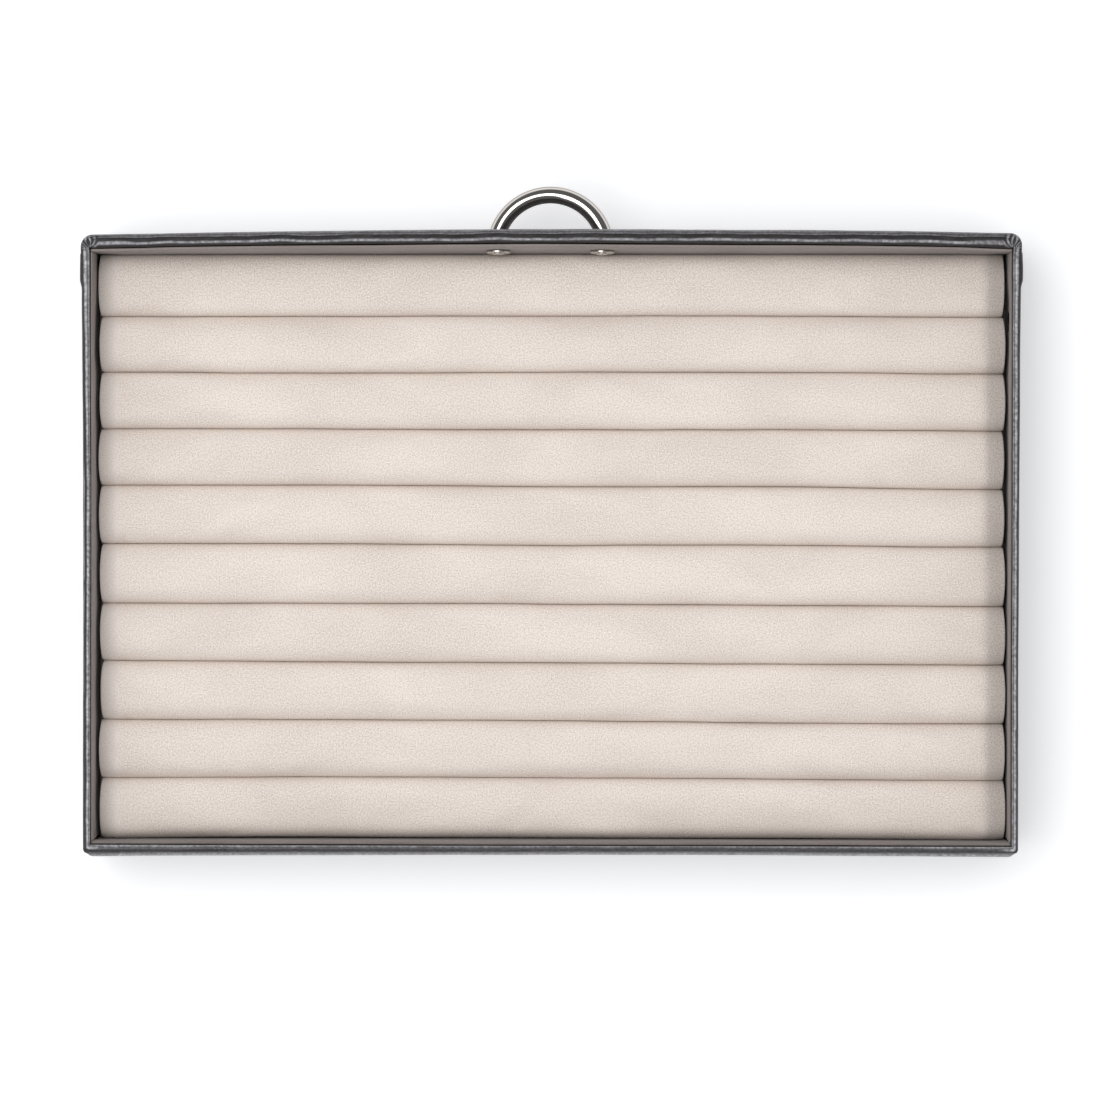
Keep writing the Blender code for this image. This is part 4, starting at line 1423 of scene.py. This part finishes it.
def back_belly(x, height):
    """How far the leather stands off the back wall, and how much painted highlight it gets there.
    """
    ends = clamped((half_length - back_corner - abs(x)) / belly_blend)
    fuller = (0.86 + 0.14 * (x / half_length) ** 2) * ends * (2 - ends)
    off_wall, belly_sheen = read_table(belly, height / MM)
    return off_wall * fuller * MM, belly_sheen * fuller


def back_sheen_kept(x, inset):
    """How much of the painted highlight and shade the back rim keeps: its outer part keeps hardly
    any.
    """
    away_share = clamped((half_length - thin_rim - abs(x)) / sheen_blend)
    usual = 0.05 if inset < sheen_inset else 0.95 + 0.5 * (x / half_length) ** 2
    return 1 + (usual - 1) * away_share


print("the belly stands off by up to", round(back_belly(0, 41 * MM)[0] / MM, 2), "mm")

# %% Swells and pleats
pleat_turns = 13
pleat_twist = 1.5
pleat_reach = 1.2 * MM


def swell_at(along, height, seed):
    """How far the leather swells off its wall, smoothly uneven."""
    swell = noise.noise((along.x / 31, along.y / 31, height / MM / 17 + seed)) * 0.10
    swell += noise.noise((along.x / 9, along.y / 9, height / MM / 9 + seed + 5)) * 0.05
    return max(swell, -0.12) * MM


def pleats(station, point, seed):
    """The gathered leather at a front corner: how high a fold stands, and how much it counts."""
    away = point - Vector((station.side * front_heart.x, front_heart.y))
    far = away.length / MM
    bearing = math.degrees(math.atan2(abs(away.x), -away.y)) if away.length > 0 else 45
    twist = pleat_twist * far + pleat_twist * noise.noise((bearing / 30, far / 2, seed))
    fold = math.sin(math.radians(bearing * pleat_turns) + twist)
    return fold, min(away.length / pleat_reach, 1)


print("swell in the middle of the front:", round(swell_at(Vector(), 20 * MM, 3) / MM, 3), "mm")

# %% Place the leather's foot and wall
front_swell = 0.22 * MM
swell_from, swell_blend = 34, 8
lap_lift = 0.7 * MM


def outward_at(station):
    """The direction out of the case at a station."""
    if station.radius:
        turn = math.radians(station.angle)
        return Vector((station.side * math.sin(turn), station.end * math.cos(turn)))
    return Vector((station.side, 0 if station.side else station.end))


def foot_point(station, inset, own_front):
    """Under the base the rows run parallel to the walls and end on the corners' diagonals."""
    x, y = station.outer
    if station.radius and station.angle not in (0, 90):
        arc, beyond = max(station.radius - inset, 0), max(inset - station.radius, 0)
        turn = math.radians(station.angle)
        heart = station.radius + beyond
        point = Vector((station.side * (half_length - heart + arc * math.sin(turn)),
                        station.end * (half_depth - heart + arc * math.cos(turn))))
        if beyond and station.end < 0:
            point += Vector((-station.side * split_gap, 0) if own_front else (0, split_gap))
        return point
    if own_front:
        limit = half_length - inset - split_gap
        return Vector((clamped(x, -limit, limit), y + inset))
    limit = half_length - inset
    if abs(x) >= half_length - weld:
        nearest, furthest = inset + split_gap - half_depth, half_depth - inset
        return Vector((math.copysign(limit, x), clamped(y, nearest, furthest)))
    return Vector((clamped(x, -limit, limit), half_depth - inset))


def wall_place(station, height, own_front, swell):
    """Where the leather lies on the outside of a wall, and how much painted highlight it gets."""
    outer = station.outer
    if own_front and not station.side:
        rise = eased(clamped((height / MM - swell_from) / swell_blend))
        swell += front_swell * rise * (1 - (outer.x / half_length) ** 4)
    # On the back wall the belly also brings a painted highlight under the rim.
    off_wall, belly_sheen = back_belly(outer.x, height) if outer.y > near_back else (0, 0)
    out = swell + station.lift * lap_lift + off_wall
    place = Vector((*(outer + outward_at(station) * out), height))
    return place + hand_drift(place, 0), belly_sheen


print("out of the first side wall:", tuple(outward_at(body_run[20])))

# %% Let the ridges wander
front_wander = 0.42, 0.14  # in broad and in short waves, in millimetres
thin_wander = 0.16, 0.07
ridge_from, ridge_blend = 148, 14  # near the front corners the middle of the front rim moves out
ridge_shift, ridge_middle, ridge_width = 0.13, 0.52, 0.17


def rim_fraction(station, fraction, along, own_front, seed, is_rim):
    """How far across its rim a row runs, from 0 outside to 1 inside, wandering in between."""
    middle = max(1 - (2 * fraction - 1) ** 4, 0)
    broad, short = front_wander if own_front else thin_wander
    wander = noise.noise((along.x / 13, along.y / 13, seed + 9)) * broad
    wander += noise.noise((along.x / 4, along.y / 4, seed + 2)) * short
    fraction += wander * MM / (front_rim if own_front else thin_rim) * middle
    if station.side == 1 and not own_front:
        shift = read_table(ridge_in, along.y)[0] * (1 - station.mitre)
        fraction += shift * MM / thin_rim * max(1 - (2 * fraction - 1) ** 2, 0)
    if own_front and is_rim:
        near_corner = clamped((abs(along.x) - ridge_from) / ridge_blend) * (1 - station.mitre)
        ridge = math.exp(-((fraction - ridge_middle) / ridge_width) ** 2)
        fraction -= ridge_shift * near_corner * ridge
    return fraction, middle


print("the ridges of the front wander by up to", sum(front_wander), "mm")

# %% Place the leather's rim


def leather_vertex(station, row, own_front, seed):
    """Where a row of the section comes to lie at a station, and how much painted highlight or shade
    it gets there.
    """
    part, front_inset, front_height, thin_inset, thin_height, front_sheen, thin_sheen = row
    outer, inner = station.outer, station.inner
    thin = 0.5 * station.mitre ** 2 * (3 - 2 * station.mitre)
    if not own_front:
        thin = 1 - thin
    height = front_height * (1 - thin) + thin_height * thin
    if part == "foot":
        return Vector((*foot_point(station, thin_inset, own_front), height)), 0.0
    along = Vector((outer.x, outer.y, 0)) / MM
    swell = swell_at(along, height, seed)
    if part == "wall":
        return wall_place(station, height, own_front, swell)
    is_rim = part == "rim"
    wear = front_sheen * (1 - thin) + thin_sheen * thin
    across = front_inset / front_rim * (1 - thin) + thin_inset / thin_rim * thin
    fraction, middle = rim_fraction(
        station, across if is_rim else 1.0, along, own_front, seed, is_rim)
    outward = outward_at(station)
    point = outer.lerp(inner, fraction) + outward * swell * (1 - fraction)
    if station.lift:
        point += outward * station.lift * lap_lift * max(1 - fraction * 2.2, 0)
    if is_rim:
        # On the back rim: a painted highlight on the belly's face, and less painted highlight and
        # shade on the rim's outer part.
        if outer.y > near_back:
            off_wall, belly_sheen = back_belly(outer.x, height)
            near_face = max(1 - fraction * 3, 0)
            point += outward * off_wall * near_face
            wear = max(wear * back_sheen_kept(outer.x, thin_inset), belly_sheen * near_face)
        uneven = noise.noise((along.x / 7, along.y / 7, seed + 4)) * 0.035
        uneven += noise.noise((along.x / 2.5, along.y / 2.5, fraction * 3 + seed)) * 0.02
        height += uneven * MM * middle
        if station.end == -1 and station.side:
            fold, counts = pleats(station, point, seed)
            strength = station.mitre ** 0.5 * middle * counts
            height += (fold * 0.19 - 0.1) * MM * strength
            # Painted highlight on the pleats' crests and painted shade in their troughs.
            wear = wear * (1 - strength) + strength * (0.15 + 0.95 * fold)
        patch = noise.noise((along.x / 3.1, along.y / 3.1, seed + fraction * 2))
        wear = clamped(wear * (1 + 0.6 * patch), -1, 1)
    place = Vector((*point, height))
    return place + hand_drift(place, clamped(fraction)), wear


print("a row of the rim:", [round(value / MM, 2) for value in leather_rows[30][1:5]], "mm")

# %% Which faces the leather has
same_place = 0.01 * MM
lap_start = 7.2 * MM - half_depth


def body_has(here, there, row):
    """The body leather's wall starts at the lap, and its rim at the mitre."""
    if leather_rows[row][0] != "wall":
        return True
    return all(station.end != -1 and (station.end or station.outer.y >= lap_start)
               for station in (here, there))


def leather_face(bm, corners):
    """A quad, or a triangle where two of its corners fall together."""
    if len({tuple(round(c / same_place) for c in v.co) for v in corners}) == 4:
        bm.faces.new(corners)
        return
    kept = []
    for vert in corners:
        if all((vert.co - other.co).length > same_place for other in kept):
            kept.append(vert)
    if len(kept) == 3:
        bm.faces.new(kept)


print("the lap starts", round((lap_start + half_depth) / MM, 1), "mm from the front")

# %% Build the two leather pieces
leather_thickness = 0.28 * MM


def wrap_leather(name, stations, own_front, seed):
    """Stations crossed with the section's rows, as a skin with its thickness inwards."""
    bm = bmesh.new()
    painted_sheen = bm.verts.layers.float.new("wear")
    grid = []
    for station in stations:
        column = []
        for row in leather_rows:
            vert = None
            if station.inner is not None or row[0] == "wall":
                place, wear = leather_vertex(station, row, own_front, seed)
                vert = bm.verts.new(place)
                vert[painted_sheen] = wear
            column.append(vert)
        grid.append(column)
    for a, b, here, there in zip(grid, grid[1:], stations, stations[1:]):
        for i in range(len(leather_rows) - 1):
            corners = (a[i], b[i], b[i + 1], a[i + 1])
            if None not in corners and (own_front or body_has(here, there, i)):
                leather_face(bm, corners)
    bmesh.ops.remove_doubles(bm, verts=bm.verts, dist=same_place)
    bmesh.ops.delete(bm, geom=[v for v in bm.verts if not v.link_faces], context="VERTS")
    bm.normal_update()
    piece = new_piece(name, bm)
    thicken = piece.modifiers.new("leather_thickness", "SOLIDIFY")
    thicken.thickness = leather_thickness
    thicken.offset = -1
    thicken.use_even_offset = True
    return baked(piece)


leather_front = wrap_leather("leather_front", front_run, True, 3.0)
leather_body = wrap_leather("leather_body", body_run, False, 47.0)
drill(leather_front, front_low.y, -10 * MM, 4 * MM)
finish_piece(leather_front, leather, "leather", "front_cover", smooth=60)
finish_piece(leather_body, leather, "leather", "body_cover", smooth=60)

# %% [markdown]
# ## The linings
#
# A lining is a card wrapped in taupe cloth and glued inside each wall. Its section is drawn with a
# soft top edge and carried along the wall. The front card isn't upright: its top follows the bowed
# front wall, and further down it leans in to meet the first roll. The other cards lean the other
# way, back against their boards, the side ones more in some places than in others, which leaves an
# uneven dark gap beside the rolls. Tables give the leans from the foot up. Two cards, those that
# face the lamp, get a darker copy of the cloth as painted shade.

# %% How the cards lean
card_lean = (  # height, how far in the front card leans there
    (4, 2.40), (15, 2.45), (19, 2.55), (22, 2.45), (26, 1.75), (30, 1.30), (35, 1.00), (40, 0.64),
    (42.5, 0.40), (45, 0.24),
)
side_lean = ((4, -0.60), (20, -0.60), (27, -0.50), (34, -0.28), (40, -0.13), (45, -0.08))
back_lean = ((4, -0.58), (24, -0.55), (29, -0.40), (36, -0.10), (40, 0.0), (45, 0.0))
side_more = (  # place from front to back, how much more the cards lean back at -X and at +X
    (-104, 0.0, 0.0), (-96, 0.0, -0.2), (-90, 0.50, 0.0), (-85, 0.65, 0.45), (-74, 0.60, 0.60),
    (-69, 0.55, 0.60), (-58, 0.25, 0.20), (-51, 0.30, 0.30), (-33, 0.30, 0.10), (-11, 0.25, 0.05),
    (11, 0.15, 0.0), (33, 0.10, 0.15), (54, 0.10, 0.40), (76, 0.10, 0.30), (94, 0.10, 0.45),
    (106, 0.0, 0.10),
)
lean_limit = block_front - 0.28 * MM
lean_end = 166.6 * MM
lean_end_blend = 7 * MM
side_board = 168.12 * MM
back_board_face = 109.72 * MM


def front_lean(x, face, height):
    """How far in the front card's face leans at x and a height: it stops short of the rolls."""
    room = clamped((lean_limit - face) / (2.6 * MM))
    ends = clamped((lean_end - abs(x)) / lean_end_blend)
    return read_table(card_lean, height / MM)[0] * MM * room * ends


def side_card_lean(x, y, height):
    """How far in the face of a side card leans at a height."""
    usual = read_table(side_lean, height / MM)[0]
    more = read_table(side_more, y / MM)[0 if x < 0 else 1]
    return usual * (1 + more / 0.6) * MM


def back_card_lean(x, y, height):
    return read_table(back_lean, height / MM)[0] * MM * (0.5 + 0.5 * (x / half_length) ** 2)


print("the front card's foot leans in by", read_table(card_lean, 4)[0], "mm")

# %% Build a lining card


def card_section(thickness, low, high):
    """A card's section as (out from its face, height), from the foot of its face and round."""
    soft = 0.22 * MM
    face = [(0.0, height) for height in spread(low, high - soft, 26)]
    top = [(soft * (1 - math.cos(turn)), high - soft * (1 - math.sin(turn)))
           for turn in (0.5, 1.0, 1.57)]
    over = [(thickness - out, height) for out, height in reversed(top)]
    return face + top + over + [(thickness, height) for _, height in reversed(face)]


def lining_card(name, places, thickness, low, high, lean):
    """A card along places, each a point on its face with the direction out to the wall."""
    bm = bmesh.new()
    columns = []
    for x, y, out_x, out_y in places:
        column = []
        for out, height in card_section(thickness, low, high):
            shift = out - lean(x, y, height)
            wave = noise.noise((x / (17 * MM), y / (17 * MM), height / (14 * MM))) * 0.05 * MM
            point = Vector((x + out_x * (shift + wave), y + out_y * (shift + wave), height))
            if height > high - 0.5 * MM:
                point.z += noise.noise((x / (22 * MM), y / (22 * MM), 5.0)) * 0.12 * MM - 0.1 * MM
            point += hand_drift(point, 1)
            if out_x:
                point.x = clamped(point.x, -side_board, side_board)
            point.y = min(point.y, back_board_face)
            column.append(bm.verts.new(point))
        columns.append(column)
    for a, b in zip(columns, columns[1:]):
        for i in range(len(a)):
            j = (i + 1) % len(a)
            bm.faces.new((a[i], b[i], b[j], a[j]))
    bm.faces.new(columns[0])
    bm.faces.new(columns[-1][::-1])
    bmesh.ops.recalc_face_normals(bm, faces=bm.faces)
    return new_piece(name, bm)


print("a card's section has", len(card_section(0.9 * MM, 0, 40 * MM)), "points")

# %% Place the four cards
lining_low, lining_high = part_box("front_lining")
left_low, left_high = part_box("left_lining")
back_low, back_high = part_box("back_lining")
card_thickness = back_high.y - back_low.y
face_inset = lining_high.y + half_depth
side_card = lining_high.x + left_high.x
side_face = lining_high.x - side_card
card_ends = lining_low.z, lining_high.z


def front_card_face(x):
    return face_inset - half_depth - front_bow_at(x)


front_card = lining_card(
    "lining_front",
    [(x, front_card_face(x), 0, -1) for x in spread(-lining_high.x, lining_high.x, 120)],
    card_thickness, *card_ends, front_lean)
drill(front_card, front_low.y, -10 * MM, 4 * MM)
back_card = lining_card(
    "lining_back", [(x, back_low.y, 0, 1) for x in spread(back_low.x, back_high.x, 60)],
    card_thickness, *card_ends, back_card_lean)
finish_piece(front_card, lining_cloth, "lining", "front_lining", smooth=50)
# The back card and the -X card get the darker copy of the cloth, which is painted shade.
finish_piece(back_card, shaded_lining_cloth, "lining", "back_lining", smooth=50)
for place, way, cloth in (("left", -1, shaded_lining_cloth), ("right", 1, lining_cloth)):
    card = lining_card(
        f"lining_{place}",
        [(way * side_face, y, way, 0) for y in spread(left_low.y, left_high.y, 60)],
        side_card, *card_ends, side_card_lean)
    finish_piece(card, cloth, "lining", f"{place}_lining", smooth=50)

# %% [markdown]
# ### Seat the screws on the leaning card
#
# The washers lie flat on the front card, which has leaned in a little there. So their pieces are
# moved and tilted with it, and only the screws' shanks stay where they were.

# %% Seat the washers and heads
washer_back = head_seat - washer_thickness - 0.05 * MM
head_back = head_seat - 0.01 * MM
seat_heights = 26 * MM, 35 * MM  # between these the card's tilt is followed


def seat_on_card(piece, behind):
    """Tilt with the card all that lies in front of a plane, and leave the shanks behind it."""
    face = front_card_face(screw_x)
    for vert in piece.data.vertices:
        if vert.co.y > behind:
            vert.co.y += front_lean(screw_x, face, clamped(vert.co.z, *seat_heights))
            vert.co.y += hand_drift((vert.co.x, face, clamped(vert.co.z, *seat_heights)), 1).y
    piece.data.update()


seat_on_card(pull_screws, head_back)
seat_on_card(pull_washers, washer_back)
print("washers and heads seated")

# %% [markdown]
# ## The studio
#
# The case stands on a white sheet under one wide soft light, with an even glow from all round. The
# light hangs well to the case's +X side and a little to its front, so the shadow falls softly on
# the other two sides. The floor is white paper: it takes the shadow as paper does, and a faint
# glow that only the camera and shiny metal see lifts it to pure white where no shadow falls. The
# ceiling above is dimmer than the walls, which gives the chrome its dark bands.

# %% Floor
floor_bm = bmesh.new()
bmesh.ops.create_grid(floor_bm, x_segments=1, y_segments=1, size=4)
floor = new_piece("studio_floor", floor_bm)
paper = Finish("white_paper", (0.86, 0.86, 0.87), 0.9, {
    "Specular IOR Level": 0.2, "Emission Color": (1, 1, 1, 1)})
rays = paper.add("ShaderNodeLightPath").outputs
seen = paper.maths("MAXIMUM", paper.maths("MAXIMUM", rays["Is Camera Ray"], rays["Is Glossy Ray"]),
                   rays["Is Transmission Ray"])
paper.give("Emission Strength", paper.scaled(seen, 0, 0.31))
floor.data.materials.append(paper.material)
floor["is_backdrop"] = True
print("the floor is", paper.material.name)

# %% World
world = bpy.data.worlds.new("studio_world")
bpy.context.scene.world = world
world.use_nodes = True
world.node_tree.nodes.clear()
sky = Network(world.node_tree)


def sky_light(strength, colour=(1, 1, 1)):
    return sky.add("ShaderNodeBackground", {"Color": (*colour, 1), "Strength": strength}).outputs[0]


def sky_for(ray, usual, other):
    """One sky for a kind of ray and the usual one for all else."""
    return sky.add("ShaderNodeMixShader", {0: ray, 1: usual, 2: other}).outputs[0]


rays = sky.add("ShaderNodeLightPath").outputs
upward = sky.add("ShaderNodeSeparateXYZ", {
    0: sky.add("ShaderNodeTexCoord").outputs["Generated"]}).outputs[2]
ceiling = sky.scaled(upward, 0.8, 0.14, 0.02, 0.22)
glow = sky_for(rays["Is Glossy Ray"], sky_light(0.68, (0.97, 0.985, 1.0)), sky_light(ceiling))
clear_seen = sky.maths("MAXIMUM", rays["Is Camera Ray"], rays["Is Transmission Ray"])
sky.add("ShaderNodeOutputWorld", {"Surface": sky_for(clear_seen, glow, sky_light(1.0))})
print("the sky has", len(sky.tree.nodes), "nodes")

# %% Lamp
lamp_data = bpy.data.lights.new("softbox", "AREA")
lamp_data.shape = "RECTANGLE"
lamp_data.size, lamp_data.size_y = 1.3, 1.0
lamp_data.energy = 14.2
lamp = bpy.data.objects.new("softbox", lamp_data)
lamp.location = (0.42, -0.18, 1.72)
lamp.rotation_euler = (-lamp.location).to_track_quat("-Z", "Y").to_euler()
lamp.visible_camera = False
bpy.context.scene.collection.objects.link(lamp)
print("studio ready")

# %% Colour
bpy.context.scene.view_settings.view_transform = "Standard"
print("colours are shown as", bpy.context.scene.view_settings.view_transform)

# %% [markdown]
# ## Measure and finish
#
# Both boxes, of the CAD model and of the dressed case, are printed.

# %% Sizes
visual_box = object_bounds()
for name, box in (("CAD", cad_box), ("dressed", visual_box)):
    print(name, [round(v / MM, 1) for corner in box for v in corner])
print(sum(pieces_made.values()), "triangles in", len(pieces_made), "pieces")
